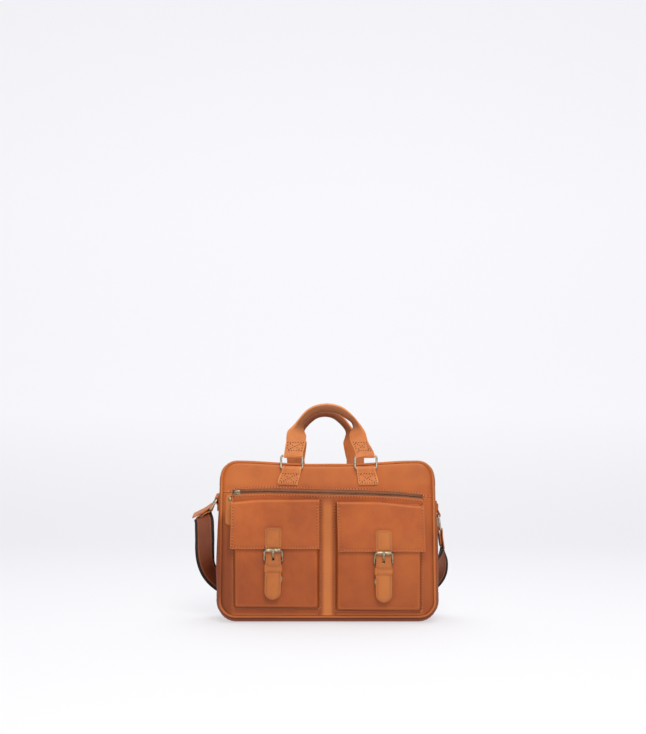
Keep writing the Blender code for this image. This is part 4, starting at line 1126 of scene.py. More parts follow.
def flap(name, side):
    drop = DROP[name]
    top, low = FLAP_TOP - drop, FLAP_LOW - drop
    sewn = ((-52.5, -1.3), (-53.6, -0.5), (-55.5, 0), (-60, 0.5), (-66, 0.6), (-70.5, 0.2))
    path = [(y * MM, top + z * MM) for y, z in sewn]
    radius = 5.5 * MM
    y, z = CREASE_Y + radius, top - radius + 0.2 * MM
    path += [(y - radius * math.sin(a), z + radius * math.cos(a)) for a in angles(0, 90, 8)[1:]]
    start = path[-1][1]
    hang = [start - (start - low - 8 * MM) * k / 22 for k in range(1, 23)]
    hang += [low + d * MM for d in (4.8, 3.4, 2.2, 1.0, 0)]
    path += [(CREASE_Y, z) for z in hang]
    shares = [s / (160 * MM) for s in spread(0, 160 * MM, 34)]
    rows, wear_and_shade_values = [], []
    seed = 31.0 + side
    for y, z in path:
        a, b = flap_sides(name, side, z)
        fallen = clamp((top - z) / (top - low))
        line, marks = [], []
        for s in shares:
            x = a + (b - a) * s
            edge = min(s, 1 - s) * (b - a)
            groove = 0.35 * MM * ridge(min(edge, max(z - low, 0)), FLAP_SEAM, 0.9 * MM)
            uneven = 0.5 * MM * wave(x, 0, z, 45 * MM, seed) * ease(edge, 0, 20 * MM)
            lift = 0.6 * MM * math.sin(math.pi * s) * fallen
            curl = 0.7 * MM * ease(fallen, 0.75, 1.0) * (1 - ease(edge, 0, 25 * MM))
            hanging = ease(fallen, 0.02, 0.12)
            out = hanging * (uneven + lift - curl - groove) - hanging * 0.2 * MM
            rise = (1 - hanging) * (0.5 * MM * wave(x, y, 0, 30 * MM, seed) - groove)
            ripple = 0.5 * MM * wave(x, 0, 0, 40 * MM, seed + 5) * ease(fallen, 0.8, 1)
            droop = flap_droop(side, x) * (1 - ease(fallen, 0.2, 0.95))
            line.append(Vector((x, y - out, z + rise + ripple - droop)))
            tip = min(edge, abs(z - low))
            rubbed = 0.35 * (1 - abs(fallen - 0.02) / 0.03) if fallen < 0.05 else 0
            # painted shade along the row of stitches; the edges and the fold are lighter
            marks.append(0.55 * (1 - ease(tip, 0, 1.6 * MM)) + rubbed - 0.25 * ridge(tip, FLAP_SEAM, MM))
        rows.append(line)
        wear_and_shade_values.append(marks)
    leaf = sheet_of(f"flap_{name}_leather", rows, 2.2 * MM, BODY_LEATHER, wear_and_shade_values, 0.45 * MM)
    bend = 7 * MM
    crease = (f"flap_{name}_fold", f"flap_{name}_body", (0, CREASE_Y + bend, top), (0, CREASE_Y, top - bend))
    lines = Stitching(f"flap_{name}_stitches", [leaf])
    a0, b0 = flap_sides(name, side, start)
    a1, b1 = flap_sides(name, side, low)
    begin, foot = top - 9 * MM, low + FLAP_SEAM
    left = [(a0 + FLAP_SEAM, begin), (a1 + FLAP_SEAM, foot)]
    right = [(b1 - FLAP_SEAM, foot), (b0 - FLAP_SEAM, begin)]
    corners = [Vector((x, CREASE_Y, z)) for x, z in left + right]
    for a, b in zip(corners, corners[1:]):
        lines.row([a, b], Y_AXIS)
    belongs(leaf, crease, [f"flap_{name}", f"flap_fold_{name}"])
    lines.done(f"flap_{name}_body", "tan_leather")


def closure(name, side):
    """A flap's strap with its keeper, buckle and snap."""
    node = f"closure_strap_{name}"
    low, high = box_of(node)
    half = (high.x - low.x) / 2
    middle = (high.x + low.x) / 2
    lean = -1.6 * MM if side < 0 else 0.8 * MM
    seam = 0.8  # share of the half width where the stitches run

    def centre(z):
        return middle + lean * ease(z, high.z - 40 * MM, low.z) * 0.9

    def half_at(z):
        tip = max(low.z + half - z, 0)
        width = math.sqrt(max(half * half - tip * tip, (0.06 * half) ** 2))
        corner = max(z - (high.z - 4 * MM), 0)
        waist = 1.3 * MM * max(0, 1 - (abs(z - heel - 10 * MM) / (15 * MM)) ** 2)
        return width - waist - (4 * MM - math.sqrt(max(16 * MM * MM - corner * corner, 0)))

    keeper_low = low_of(f"strap_keeper_{name}")[2]
    heel = low_of(f"buckle_frame_{name}")[2]
    hole = (heel + 2.5 * MM, heel + 9.4 * MM)
    slot = 2.2 * MM / half
    columns = [0.4, 0.6, 0.76, 0.86, 0.94, 1]
    columns = [-u for u in reversed(columns)] + [-slot, 0, slot] + columns
    levels = [z for z in tag_levels(low.z, high.z, half, 56) if min(abs(z - h) for h in hole) > 1.2 * MM]
    levels = sorted([*levels, *hole], reverse=True)

    def y_at(u, z):
        below = ease(z, keeper_low, low.z)
        crown = 0.35 * MM * (1 - abs(u) ** 4)
        groove = 0.25 * MM * ridge(abs(u), seam, 0.05)
        return low.y - crown + groove + 0.3 * MM * wave(0.3, 0, z, 22 * MM, side) + 0.8 * MM * below * below

    rows = half_width_rows(levels, half_at, centre, y_at, columns)
    # painted shade along the rows of stitches; the edges are lighter
    line = [0.8 * ease(abs(u), 0.88, 1.0) - 0.3 * ridge(abs(u), seam, 0.06) for u in columns]
    wear_and_shade_values = [line] * len(levels)

    def skip(i, k):
        return columns[k] in (-slot, 0) and levels[i] <= hole[1] and levels[i + 1] >= hole[0]

    strap = sheet_of(f"{node}_leather", rows, high.y - low.y, STRAP_LEATHER, wear_and_shade_values, 0.5 * MM, skip)
    body = f"flap_{name}_body"
    belongs(strap, body, [node])
    lines = Stitching(f"closure_{name}_stitches", [strap])
    top_row = high.z - 3 * MM
    bottom_row = high_of(f"buckle_frame_{name}")[2] + 3.5 * MM

    def mark(u, z):
        return Vector((centre(z) + half * u, low.y, z))

    box = [mark(-seam, bottom_row), mark(-seam, top_row), mark(seam, top_row), mark(seam, bottom_row)]
    for a, b in [*zip(box, box[1:]), (box[0], box[-1])]:
        lines.row([a, b], Y_AXIS, **STRAP_STITCH)
    tip = low.z + half
    tail = [mark(-seam, keeper_low - 2 * MM), mark(-seam, tip)]
    for a in angles(180, 360, 12):
        tail.append(mark(0, tip) + Vector((half * seam * math.cos(a), 0, half * seam * math.sin(a))))
    tail += [mark(seam, tip), mark(seam, keeper_low - 2 * MM)]
    lines.row(tail, Y_AXIS, **STRAP_STITCH)
    lines.done(body, "light_leather")
    keeper(name, body)
    buckle(name, body)
    snap(name, body)


def keeper(name, body):
    """The leather loop that holds a closure strap's end."""
    node = f"strap_keeper_{name}"
    low, high = box_of(node)
    centre = (low + high) / 2
    thick = 1.5 * MM
    outline = rounded_box_outline((high.x - low.x - thick) / 2, (high.y - low.y - thick) / 2, 1.3 * MM, 4)
    path = [Vector((centre.x + x, centre.y + y, centre.z)) for x, y in outline]
    path.append(path[0].lerp(path[-1], 0.5))
    loop = sweep(
        f"{node}_leather", path, Z_AXIS, strap_section(high.z - low.z, thick, 0.5 * MM, 6), STRAP_LEATHER,
        closed=True, wear_and_shade=lambda i, a, half: 0.8 * ease(abs(a) / half, 0.8, 1.0),
    )
    belongs(loop, body, [node])
    lines = Stitching(f"{node}_stitches", [loop])
    for z in (low.z + 2.2 * MM, high.z - 2.2 * MM):
        ends = [Vector((x, low.y, z)) for x in (low.x + 2 * MM, high.x - 2 * MM)]
        lines.row(ends, Y_AXIS, 3.8 * MM, 2.6 * MM, 0.32 * MM)
    lines.done(body, "light_leather")


def buckle(name, body):
    """A wire frame, a roller on its upper bar and a prong on its heel bar."""
    low, high = box_of(f"buckle_frame_{name}")
    roller_low, roller_high = box_of(f"buckle_roller_{name}")
    wire = 2.15 * MM
    top = (roller_low + roller_high) / 2
    heel = Vector((top.x, high.y - wire, low.z + wire))
    top_half = (high.x - low.x) / 2 - 4.2 * MM
    low_half = (high.x - low.x) / 2 - 3.4 * MM
    corner = 4.6 * MM
    lean = (heel - top).normalized()
    bends = []
    for point, half, inward, turns in ((top, top_half, lean, (-1, 1)), (heel, low_half, -lean, (1, -1))):
        for turn in turns:
            middle = point + Vector((turn * (half - corner), 0, 0)) + inward * corner
            side = Vector((turn, 0, 0))
            first, second = (-inward, side) if point is top else (side, -inward)
            bend = [middle + corner * (first * math.cos(a) + second * math.sin(a)) for a in angles(0, 90, 8)]
            bends.append(bend if turn > 0 else bend[::-1])
    points = [p for bend in bends for p in bend]
    normal = X_AXIS.cross(lean).normalized()
    loop = sweep(
        f"buckle_frame_{name}_wire", points, normal, round_section(wire), ANTIQUE, closed=True, angle=80
    )
    belongs(loop, body, [f"buckle_frame_{name}"])
    radius = (roller_high.y - roller_low.y) / 2
    half = (roller_high.x - roller_low.x) / 2
    profile = [(wire + 0.35 * MM, -half), (radius - 0.3 * MM, -half), (radius, -half + 0.4 * MM)]
    profile += [(r, -x) for r, x in reversed(profile)]
    rings = [[top + Vector((x, a, b)) for a, b in round_section(r, 28)] for r, x in profile]
    roller = as_object(f"buckle_roller_{name}_sleeve", *skin(rings, closed=True), ANTIQUE)
    settle_normals(roller, 35)
    belongs(roller, f"buckle_roller_{name}_body", [f"buckle_roller_{name}"])
    prong_low, prong_high = box_of(f"buckle_prong_{name}")
    thick = 1.2 * MM
    curl = wire + 0.4 * MM + thick / 2
    points = [heel + curl * Vector((0, math.cos(a), math.sin(a))) for a in angles(-150, 90, 16)]
    strap_back = high_of(f"closure_strap_{name}")[1]
    face = prong_low.y + 0.55 * MM
    exit_y = low_of(f"closure_strap_{name}")[1] - 0.8 * MM
    guide = [(strap_back, heel.z + 4.2 * MM), (exit_y, heel.z + 6.3 * MM)]
    guide += [((exit_y + face) / 2, heel.z + 10.5 * MM), (face + 0.6 * MM, top.z - 5.5 * MM)]
    guide += [(face, top.z - 2.5 * MM), (face, top.z), (face, prong_high.z)]
    tail = spline([tuple(points[-1])] + [(heel.x, y, z) for y, z in guide], 4)
    points += [Vector(p) for p in tail[1:]]
    count = len(points)

    def shape(i):
        tip = 0.75 + 0.45 * ease(i / count, 0.4, 0.8) - 0.25 * ease(i / count, 0.93, 1.0)
        return strap_section(3.6 * MM * tip, thick * (1.3 if i > 20 else 1), 0.6 * MM, 2)

    prong = sweep(f"buckle_prong_{name}_tongue", points, X_AXIS, shape, ANTIQUE, angle=60)
    belongs(prong, f"buckle_prong_{name}_body", [f"buckle_prong_{name}"])


# A snap's halves: radius and depth in millimetres
SNAP_MALE = ((7.0, 0), (8.8, 0.1), (9.7, 0.5), (10, 1.0), (10, 1.8), (9.5, 2.2), (3.2, 2.4), (3.0, 3.6))
SNAP_FEMALE = ((7.6, 0.0), (9.0, 0.1), (10, 0.5), (10, 2.6), (9.7, 3.4))


def snap(name, body):
    for kind, profile, owner in (("male", SNAP_MALE, body), ("female", SNAP_FEMALE, "bag")):
        node = f"snap_{kind}_{name}"
        face, at = box_of(node)[0].y, middle_of(node)
        profile = [(r * MM, face + y * MM) for r, y in profile]
        disc = turned(f"{node}_disc", profile, Vector((at.x, 0, at.z)), ANTIQUE)
        belongs(disc, owner, [node])


# ---------------------------------------------------------------- handles
RING_WIRE = 2.0 * MM
LEATHER = 2.2 * MM
FOLD_GAP = 1.25 * MM  # from a ring's bar to the middle of the leather folded over it
CLEAR = 8.5 * MM  # a fold's legs run straight from this far below its bar
HANDLE_Y = 56.9 * MM  # the plane of a handle and its rings, from the bag's middle


def wire_ring(node, bar, along, down, half, tall, body):
    """A rectangular ring that goes down from the middle of its bar."""
    middle = bar + down * tall / 2
    points = [middle + along * a + down * b for a, b in rounded_box_outline(half, tall / 2, 5.5 * MM, 8)]
    points = [p for i, p in enumerate(points) if i == 0 or (p - points[i - 1]).length > 1e-6]
    wire = round_section(RING_WIRE)
    ring = sweep(f"{node}_wire", points, along.cross(down), wire, SILVER, closed=True, angle=80)
    belongs(ring, body, [node])


def folded_path(bar, lead, out, long_leg, short_leg, gap=FOLD_GAP):
    """Leather folded over a bar, its legs along lead: first the long one, on the side of out."""
    radius = RING_WIRE + 0.45 * MM + LEATHER / 2
    far = [bar + lead * long_leg * k / 8 + out * gap for k in range(8, 2, -1) if long_leg * k / 8 > CLEAR]
    turn = [bar + radius * (out * math.cos(a) - lead * math.sin(a)) for a in angles(-10, 190, 14)]
    near = [bar + lead * short_leg * k / 6 - out * gap for k in range(2, 7) if short_leg * k / 6 > CLEAR]
    return far + turn + near


def edge_wear_and_stitch_shade(i, a, half):
    """Rubbed along a strap's edges, with painted shade along its stitches."""
    return 0.8 * ease(abs(a) / half, 0.9, 1.0) - 0.25 * ridge(abs(a) / half, 0.84, 0.04)


def ring_bars(place):
    """Heights of the lower and upper bars of a handle's rings."""
    ring = f"{place}_ring_left"
    return low_of(ring)[2] + RING_WIRE, high_of(ring)[2] - RING_WIRE


def chape(place, name, x, face, lean):
    """Leather folded over a ring's lower bar and sewn down, with its foot out to the side by lean."""
    node = f"{place}_chape_{name}"
    axis_z = ring_bars(place)[0]
    low = Vector(low_of(node))
    y = face * HANDLE_Y
    leg = axis_z - low.z
    points = folded_path(Vector((x, y, axis_z)), -Z_AXIS, Y_AXIS * face, leg, 24 * MM)
    tip = [low.z + d * MM for d in (0, 0.5, 1.4, 3.0)]
    points = [p for p in points if p.z > tip[-1] + 1 * MM]
    fixed = []
    for p in [Vector((x, y + face * FOLD_GAP, z)) for z in tip] + points:
        below = axis_z - p.z
        pull = ease(below, 2 * MM, 12 * MM) * 2.4 * MM
        fixed.append(p + Vector((lean * ease(below, 0, leg), -face * pull, 0)))
    corner = 3.5 * MM

    def section(i):
        front = i < len(fixed) // 2
        width = 34.4 * MM + (2.6 * MM * ease(axis_z - fixed[i].z, 8 * MM, leg) if front else 0)
        off = max(corner - (fixed[i].z - low.z), 0) if front else 0
        width -= 2 * (corner - math.sqrt(max(corner * corner - off * off, 0)))
        return strap_section(width, LEATHER, 0.6 * MM, 10)

    piece = sweep(f"{node}_leather", fixed, X_AXIS, section, HANDLE_LEATHER, wear_and_shade=edge_wear_and_stitch_shade)
    belongs(piece, "bag", [node])
    lines = Stitching(f"{node}_stitches", [piece])
    half, base, top = 14.6 * MM, low.z + 3 * MM, axis_z - 9 * MM
    corners = [(-half, top), (-half - 0.8 * MM, base), (half + 0.8 * MM, base), (half, top), (-half, top)]
    corners.append((half, base))
    marks = [Vector((x + a + lean * ease(axis_z - z, 0, leg), y, z)) for a, z in corners]
    for a, b in [*zip(marks, marks[1:]), (marks[1], marks[3])]:
        lines.row([a, b], (0, -face, 0), **STRAP_STITCH)
    lines.done("bag", "light_leather")


# A handle's leg and half of its grip: share of the height, share of the half width, width and thickness in
# millimetres, and roundness
HANDLE_SHAPE = (
    (0.205, 0.914, 34.4, 2.4, 0.0),
    (0.340, 0.868, 36.5, 3.8, 0.05),
    (0.455, 0.836, 35.5, 6.0, 0.15),
    (0.545, 0.805, 26.0, 9.5, 0.5),
    (0.625, 0.772, 17.5, 13.0, 0.85),
    (0.705, 0.715, 14.0, 15.5, 1.0),
    (0.800, 0.612, 14.2, 16.0, 1.0),
    (0.880, 0.500, 15.0, 16.0, 1.0),
    (0.945, 0.360, 15.6, 16.2, 1.0),
    (0.985, 0.190, 16.0, 16.4, 1.0),
)


def handle_rows(feet, top, y, bar_z, lean, widen, turn):
    """A handle's middle line from one folded end to the other: x, y, z, width, thickness and roundness.
    feet are the two ends' x. The grip hangs over to one side by lean, the legs stand widen further out, and
    the right leg is narrower by turn."""
    face = -1 if y < 0 else 1
    centre, foot = (feet[0] + feet[1]) / 2, (feet[1] - feet[0]) / 2
    rise = top - bar_z
    slope = 0.26 - widen / (16 * MM)
    fold = folded_path(Vector((0, y, bar_z)), Z_AXIS, Y_AXIS * face, 9 * MM, 20 * MM)
    rows = [(slope * max(p.z - bar_z, 0) - foot, p.y, p.z, 34.0 * MM, LEATHER, 0.0) for p in reversed(fold)]
    start = len(rows) - 1
    for up, out, wide, thick, roundness in HANDLE_SHAPE:
        lift = face * 1.25 * MM * min(1, 1.25 * (1 - up))
        far = foot * out + widen * math.sin(math.pi * min(up / 0.9, 1))
        rows.append((-far, y + lift, bar_z + rise * up, wide * MM, thick * MM, roundness))
    rows.append((0.0, y, top, 16.2 * MM, 16.4 * MM, 1.0))
    smooth = rows[:start] + [tuple(r) for r in spline(rows[start:], 4)]
    whole = []
    for side, half in ((1, smooth), (-1, smooth[-2::-1])):
        for x, y_at, z, wide, thick, roundness in half:
            up = (z - bar_z) / rise
            over = lean * min(1, 2.2 * max(up, 0))
            twist = turn * ease(up, 0.02, 0.2) * (1 - ease(up, 0.72, 0.9)) if side < 0 else 0
            shift = 3.2 * MM * twist * ease(up, 0.35, 0.6)
            x_at = side * x + centre + over + shift
            whole.append((x_at, y_at, z, wide * (1 - 0.16 * twist), thick, roundness))
    return whole


def handle_section(wide, thick, roundness, count=28):
    """A shape between a flat strap and a circle."""
    power = 2 / (10 - 8 * clamp(roundness))
    found = []
    for k in range(count):
        a = math.tau * (k + 0.5) / count
        c, s = math.cos(a), math.sin(a)
        across = math.copysign(abs(c) ** power, c) * wide / 2
        found.append((across, math.copysign(abs(s) ** power, s) * thick / 2))
    return found


def handle(place, feet, top, y, body, hang):
    bar_z = ring_bars(place)[1]
    rows = handle_rows(feet, top, y, bar_z, *hang)
    points = [Vector(r[:3]) for r in rows]
    centre = (feet[0] + feet[1]) / 2
    widths = []
    for p, along in zip(points, directions(points)):
        wide = X_AXIS if p.z < bar_z + 12 * MM else Y_AXIS.cross(along)
        keep = widths[-1] if widths else X_AXIS
        widths.append(-wide if wide.dot(keep) < 0 else wide)
    shapes = [handle_section(w, t, r) for _, _, _, w, t, r in rows]

    def wear_and_shade(i, a, half):
        """Rubbed along its edges and on top of the grip, with painted shade on the grip's inner side."""
        around = rows[i][5]
        inner = a / half if widths[i].dot(Vector((centre, y, bar_z)) - points[i]) > 0 else -a / half
        return (1 - around) * edge_wear_and_stitch_shade(i, a, half) + around * (0.5 - 1.6 * ease(inner, -0.85, -0.4))

    grip = sweep(
        f"{place}_handle_leather", points, widths, lambda i: shapes[i], HANDLE_LEATHER, wear_and_shade=wear_and_shade, angle=70
    )
    belongs(grip, body, [f"{place}_handle"])
    lines = Stitching(f"{place}_handle_stitches", [grip])
    face = -1 if y < 0 else 1
    for sign in (-1, 1):
        front = []
        for i, p in enumerate(points):
            outer_leg = (p.y - y) * face > 0.3 * MM and (p.x - centre) * sign > 0
            if outer_leg and bar_z + 4 * MM < p.z < bar_z + 24 * MM and rows[i][5] < 0.3:
                front.append(i)
        front.sort(key=lambda i: points[i].z)
        edges = {}
        for u in (-0.8, 0.8):
            edges[u] = [points[i] + X_AXIS * rows[i][3] / 2 * u for i in front]
            lines.row(edges[u], (0, -face, 0), **STRAP_STITCH)
        left, right = edges[-0.8], edges[0.8]
        for a, b in ((left[0], right[0]), (left[-1], right[-1]), (left[0], right[-1]), (right[0], left[-1])):
            lines.row([a, b], (0, -face, 0), **STRAP_STITCH)
    lines.done(body, "light_leather")


def handle_set(place, face, top, pinch, splay, hang):
    """Two rings, their chapes and the handle. pinch moves the handle's left and right ends in from the rings,
    and splay moves the chapes' feet out from them. hang holds how the grip hangs."""
    y = face * HANDLE_Y
    axis_z, bar_z = ring_bars(place)
    feet = []
    for name, side in SIDES.items():
        ring = f"{place}_ring_{name}"
        x = middle_of(ring).x
        chape(place, name, x, face, side * splay[name])
        wire_ring(ring, Vector((x, y, axis_z)), X_AXIS, Z_AXIS, 19.7 * MM, bar_z - axis_z, f"{place}_rings")
        feet.append(x - side * pinch[name])
    handle(place, feet, top, y, f"{place}_handle_body", hang)


# ---------------------------------------------------------------- shoulder strap
LEFT_ROLL, LEFT_SWING, LEFT_LOOP_SWING = (math.radians(a) for a in (12, 20, 63))
RIGHT_SWING = math.radians(8)
SIDE_RING_TALL = 27 * MM


def side_frame(name, side):
    """A side ring's bar, the way along it, and the ways that its ring and its loop hang."""
    left = side < 0
    bar = Vector(next(j for j in frame["joints"] if j["name"] == f"side_ring_{name}_hinge")["pos_m"])
    turn = Matrix.Rotation(LEFT_ROLL if left else 0.0, 3, "X")
    swings = (LEFT_SWING, LEFT_LOOP_SWING) if left else (RIGHT_SWING, RIGHT_SWING)
    down, lead = [turn @ Vector((side * math.sin(a), 0, -math.cos(a))) for a in swings]
    return bar, turn @ Y_AXIS, down, lead


def side_ring(name, side):
    """A side's tab, ring and strap end loop. Returns the loop."""
    bar, along, down, lead = side_frame(name, side)
    far_bar = bar + down * SIDE_RING_TALL
    if side < 0:
        bar = bar + Vector((0.8 * MM, 0, -0.8 * MM))
        far_bar = far_bar + Vector((-2.5 * MM, 0, 5 * MM))
    up = along.cross(Vector((side, 0, 0))) * -1
    if (up.z > 0) == (side < 0):
        up.negate()
    legs = folded_path(bar, up, Vector((side, 0, 0)), 22 * MM, 27 * MM)
    fixed = []
    for p in legs:
        pull = ease((p - bar).dot(up), 1 * MM, 9 * MM) * 2.4 * MM
        fixed.append(p - Vector((side * pull, 0, 0)))
    shape = strap_section(34 * MM, LEATHER, 0.6 * MM, 8)
    tab = sweep(f"side_tab_{name}_leather", fixed, along, shape, STRAP_LEATHER, wear_and_shade=edge_wear_and_stitch_shade)
    belongs(tab, "bag", [f"side_tab_{name}"])
    lines = Stitching(f"side_tab_{name}_stitches", [tab])
    for reach in (9 * MM, 19 * MM):
        a, b = (bar + up * reach + along * u * 14 * MM for u in (-1, 1))
        lines.row([a, b], (-side, 0, 0), **STRAP_STITCH)
    lines.done("bag", "light_leather")
    body = f"side_ring_{name}_body"
    reach = (far_bar - bar).length
    wire_ring(f"side_ring_{name}", bar, along, (far_bar - bar) / reach, 21.4 * MM, reach, body)
    out = along.cross(lead) * side
    if out.x * side < 0:
        out.negate()
    gap, reach = (1.3 * MM, 38 * MM) if side < 0 else (2.3 * MM, 37 * MM)
    legs = folded_path(far_bar, lead, out, reach, reach - 5 * MM, gap)
    if side < 0:
        tongue = [p for p in legs if (p - far_bar).dot(out) < 0 and (p - far_bar).dot(lead) > CLEAR]
        rest = [p for p in legs if p not in tongue]
        tongue = [tongue[0] + lead * d * MM for d in (0, 5, 10, 15, 19, 22, 24, 25)]
        legs = rest + [p - out * 5 * MM * ease((p - far_bar).dot(lead), 8 * MM, 30 * MM) for p in tongue]
    count = len(legs)

    def section(i):
        width = 34 * MM
        if side < 0 and i > count - 8:
            width *= (1, 1, 0.98, 0.93, 0.83, 0.68, 0.5, 0.3)[i - count + 8]
        return strap_section(width, LEATHER, 0.6 * MM, 8)

    loop = sweep(f"strap_loop_{name}_leather", legs, along, section, STRAP_LEATHER, wear_and_shade=edge_wear_and_stitch_shade)
    belongs(loop, body, [f"strap_loop_{name}"])
    lines = Stitching(f"strap_loop_{name}_stitches", [loop])
    for face in (1, -1):
        for u in (-0.8, 0.8):
            a, b = (far_bar + lead * r * MM + along * u * 15 * MM for r in (8, 24))
            lines.row([a, b], -out * face, **STRAP_STITCH)
    lines.done(body, "light_leather")
    return loop


def strap_route():
    """The shoulder strap's middle line, in millimetres, with the direction of its width at each point:
    from under the left end loop, down past the side, behind the bag, and up to the right ring."""
    return [
        ((-235.7, 9.5, 195.4), (0.89, -0.09, 0.44)),
        ((-233.5, -6, 192.6), (0.93, -0.05, 0.36)),
        ((-230.5, -16.5, 186.5), (0.98, 0, 0.2)),
        ((-229.5, -21, 172), (1, 0, 0)),
        ((-229, -21, 152), (1, 0, 0)),
        ((-229.5, -17, 133), (0.97, 0.1, 0.2)),
        ((-229, -4, 112), (0.85, 0.25, 0.45)),
        ((-226, 20, 92), (0.6, 0.3, 0.72)),
        ((-217, 46, 74), (0.42, 0.25, 0.87)),
        ((-196, 68, 55), (0.35, 0.2, 0.9)),
        ((-165, 84, 38), (0.25, 0.1, 0.95)),
        ((-128, 94, 28), (0.12, 0, 1)),
        ((-85, 99, 23.5), (0, 0, 1)),
        ((-30, 101, 23), (0, 0, 1)),
        ((20, 101, 22), (0, 0, 1)),
        ((70, 99, 22), (0, 0, 1)),
        ((112, 95, 25), (-0.1, 0, 1)),
        ((150, 89, 33), (-0.25, 0, 0.95)),
        ((181, 80, 45), (-0.45, -0.05, 0.87)),
        ((203, 70, 64), (-0.6, -0.2, 0.77)),
        ((212.5, 56, 80), (-0.62, -0.45, 0.62)),
        ((215, 38, 97), (-0.6, -0.72, 0.35)),
        ((214, 19, 113), (-0.45, -0.88, 0.12)),
        ((213.5, 4, 130), (-0.22, -0.97, 0)),
        ((214.3, 0, 147), (0, -1, 0)),
    ]


def ribbon_section(width, thick, columns):
    half, rise = width / 2, thick / 2
    across = [width * (k / columns - 0.5) for k in range(columns + 1)]
    edge = 0.25 * MM
    low = [(a, -rise) for a in across[1:-1]]
    high = [(a, rise) for a in reversed(across[1:-1])]
    right = [(half - edge, -rise), (half, -rise + edge), (half, rise - edge), (half - edge, rise)]
    left = [(-a, -b) for a, b in right]
    return low + right + high + left


def shoulder_strap(loops):
    """The strap's webbing, leather and stitches on each side, meeting in the adjuster behind the bag."""
    route = strap_route()
    lines = spline([(*[c * MM for c in p], *w) for p, w in route], 24)
    points = [Vector(r[:3]) for r in lines]
    count = 220
    reach = lengths_of(points)
    even, widths = [], []
    for at, share in even_steps(reach, count):
        even.append(points[at].lerp(points[at + 1], share))
        widths.append(Vector(lines[at][3:6]).lerp(Vector(lines[at + 1][3:6]), share))
    for _ in range(20):
        between = [(a + b * 2 + c) / 4 for a, b, c in zip(widths, widths[1:], widths[2:])]
        widths = [widths[0], *between, widths[-1]]
    adjuster_at = middle_of("strap_adjuster")
    behind = [i for i, p in enumerate(even) if p.y > 90 * MM]
    split = min(behind, key=lambda i: abs(even[i].x - adjuster_at.x))
    adjuster = adjuster_frame(adjuster_at)
    spans = {
        "left": (0, split, (-0.232, 0, 0.186), (-0.230, -0.01, 0.112), even[0]),
        "right": (split, count, (0.2155, 0, 0.134), (0.2215, 0.02, 0.082), even[-1]),
    }
    step = reach[-1] / count
    black = ribbon_section(36 * MM, 1.6 * MM, 12)
    tan = strap_section(26 * MM, 1.7 * MM, 0.5 * MM, 10)
    for name, (first, last, start, end, exit_at) in spans.items():
        part = slice(first, last + 1)
        web = sweep(f"shoulder_webbing_{name}", even[part], widths[part], black, WEBBING, angle=60)
        body = (f"side_ring_{name}_body", "bag", start, end)
        if name == "left":
            inner = slice(first + round(9 * MM / step), last + 1)
        else:
            inner = slice(first, last + 1 - round(32 * MM / step))
        strip = sweep(
            f"shoulder_leather_{name}", even[inner], widths[inner], tan, EDGE_LEATHER, push=2.05 * MM,
            wear_and_shade=edge_wear_and_stitch_shade, angle=60,
        )
        rows = Stitching(f"shoulder_stitches_{name}", [strip], DARK_THREAD)
        for u in (-1, 1):
            strap_stitches(rows, even[inner], widths[inner], u * 10.8 * MM, 2.9 * MM)
        thread_rows = rows.done(body, "tan_leather")
        belongs(strip, body, ["shoulder_leather"])
        belongs(web, body, ["shoulder_webbing"])
        tuple(exit_at)


def strap_stitches(rows, points, widths, across, lift):
    """Stitches along a strap at a distance from its middle, standing on its face."""
    ways = directions(points)
    lines = []
    for point, along, wide in zip(points, ways, widths):
        wide = (wide - along * wide.dot(along)).normalized()
        up = along.cross(wide)
        lines.append((point + wide * across + up * lift, along, up))
    pitch, travelled = 4 * MM, 0.0
    for (a, _, _), (b, along, up) in zip(lines, lines[1:]):
        gap = (b - a).length
        while travelled <= gap:
            place = a.lerp(b, travelled / gap)
            rows.stitch(place, along, up, 2.8 * MM, 0.34 * MM)
            rows.hole(place + along * pitch / 2, along, up, 0.6 * MM)
            travelled += pitch
        travelled -= gap


def adjuster_frame(at):
    low, high = box_of("strap_adjuster")
    half = (high - low) / 2
    thick = 1.9 * MM
    outline = rounded_box_outline(half.z - thick / 2, half.y - thick / 2, 2.4 * MM, 6)
    points = [Vector((at.x, at.y + b, at.z + a)) for a, b in outline]
    shape = strap_section(2 * half.x, thick, 0.8 * MM, 4)
    obj = sweep("strap_adjuster_frame", points, X_AXIS, shape, ANTIQUE, closed=True)
    return belongs(obj, "bag", ["strap_adjuster"])


# ---------------------------------------------------------------- seams
def seams(panels):
    """The rows of stitches above and below the front zip."""
    lines = Stitching("front_panel_stitches", panels)
    xs = [k * 4 * MM for k in range(-46, 47)]
    lines.row([Vector((x, FRONT, slot_edge(x, 1) + 2.4 * MM)) for x in xs], Y_AXIS)
    lines.row([Vector((x, FRONT, slot_edge(x, -1) - 3.6 * MM)) for x in xs if abs(x) < SLOT_END], Y_AXIS)
    lines.done("bag", "tan_leather")


def cad_finishes():
    """Materials for the CAD pieces that stay as they are."""
    for name in ("lining", "laptop_divider", "front_zip_pocket_bag", "base_board"):
        mesh = frame["nodes"][name].data
        mesh.materials.clear()
        mesh.materials.append(BOARD if name == "base_board" else LINING)


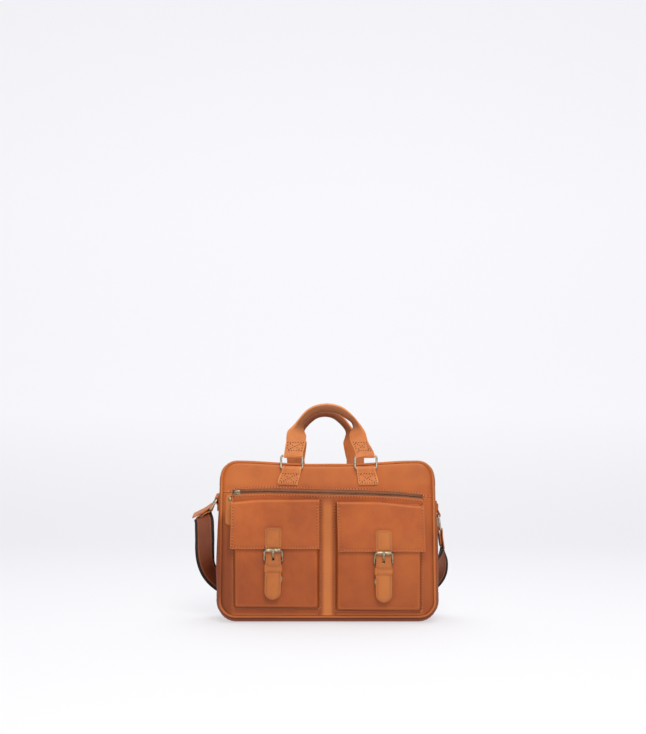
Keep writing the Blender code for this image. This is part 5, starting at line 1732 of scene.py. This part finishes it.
# ---------------------------------------------------------------- studio
def studio():
    bpy.context.scene.view_settings.view_transform = "Standard"
    reach, bend, turn_y = 6.0, 1.4, 1.6  # the floor runs flat up to turn_y, then curves up into a wall
    line = [(-reach, 0.0), (turn_y, 0.0)]
    line += [(turn_y + bend * math.sin(a), bend - bend * math.cos(a)) for a in angles(0, 90, 16)[1:]]
    line.append((turn_y + bend, reach))
    count = len(line)
    corners = [Vector((x, y, z)) for x in (-reach, reach) for y, z in line]
    faces = [(k, k + 1, count + k + 1, count + k) for k in range(count - 1)]
    floor = as_object("studio_floor", corners, faces, floor_finish())
    floor.data.shade_smooth()
    world = bpy.data.worlds.new("studio_world")
    world.use_nodes = True
    sky = world.node_tree.nodes["Background"].inputs
    sky["Color"].default_value = (0.95, 0.97, 1.0, 1)
    sky["Strength"].default_value = 0.35
    bpy.context.scene.world = world
    aim = Vector((0, 0, 0.15))
    lights = [  # name, place, size, power and colour
        ("key_light", (0.35, -2.3, 2.2), 1.3, 46.0, (1.0, 0.98, 0.95)),
        ("fill_light", (0.2, -3.0, 0.5), 1.4, 12.0, (1.0, 1.0, 1.0)),
        ("top_light", (0.0, 0.1, 2.6), 1.8, 26.0, (1.0, 1.0, 1.0)),
    ]
    for name, place, size, power, colour in lights:
        data = bpy.data.lights.new(name, "AREA")
        data.size, data.energy, data.color = size, power, colour
        lamp = bpy.data.objects.new(name, data)
        lamp.location = place
        lamp.rotation_mode = "QUATERNION"
        lamp.rotation_quaternion = (aim - Vector(place)).to_track_quat("-Z", "Y")
        bpy.context.scene.collection.objects.link(lamp)


def camera():
    distance = 2.1
    eye = Vector((-0.0082, FRONT - distance, 0.3))
    in_front = 13 * MM  # the plane in front of the front panel where the next two are measured
    seen_height = 1.343  # from the bottom to the top of the view
    middle = 0.471  # height of the view's middle
    sensor = 36
    data = bpy.data.cameras.new("camera")
    data.lens = sensor * (distance - in_front) / seen_height
    data.shift_y = (middle - eye.z) / seen_height
    shot = bpy.data.objects.new("camera", data)
    shot.location = eye
    shot.rotation_mode = "XYZ"
    shot.rotation_euler = (math.radians(90), 0, 0)
    bpy.context.scene.collection.objects.link(shot)
    bpy.context.scene.camera = shot


camera()
studio()
shoulder_strap({side_name: side_ring(side_name, side_sign) for side_name, side_sign in SIDES.items()})
front_leather = front_panels()
back_panel()
gussets()
piping()
front_zip()
main_zip()
for side_name, side_sign in SIDES.items():
    pocket(side_name, side_sign)
    flap(side_name, side_sign)
    closure(side_name, side_sign)
handle_set(
    "front", -1, 397 * MM, {"left": 2.6 * MM, "right": 1 * MM}, {"left": 8 * MM, "right": 5 * MM},
    (-4.5 * MM, 0.0, 1.0),
)
handle_set(
    "rear", 1, 392.5 * MM, {"left": 0.6 * MM, "right": 0.6 * MM}, {"left": 1 * MM, "right": 1 * MM},
    (-1.5 * MM, 5 * MM, 0.0),
)
seams(front_leather)
cad_finishes()
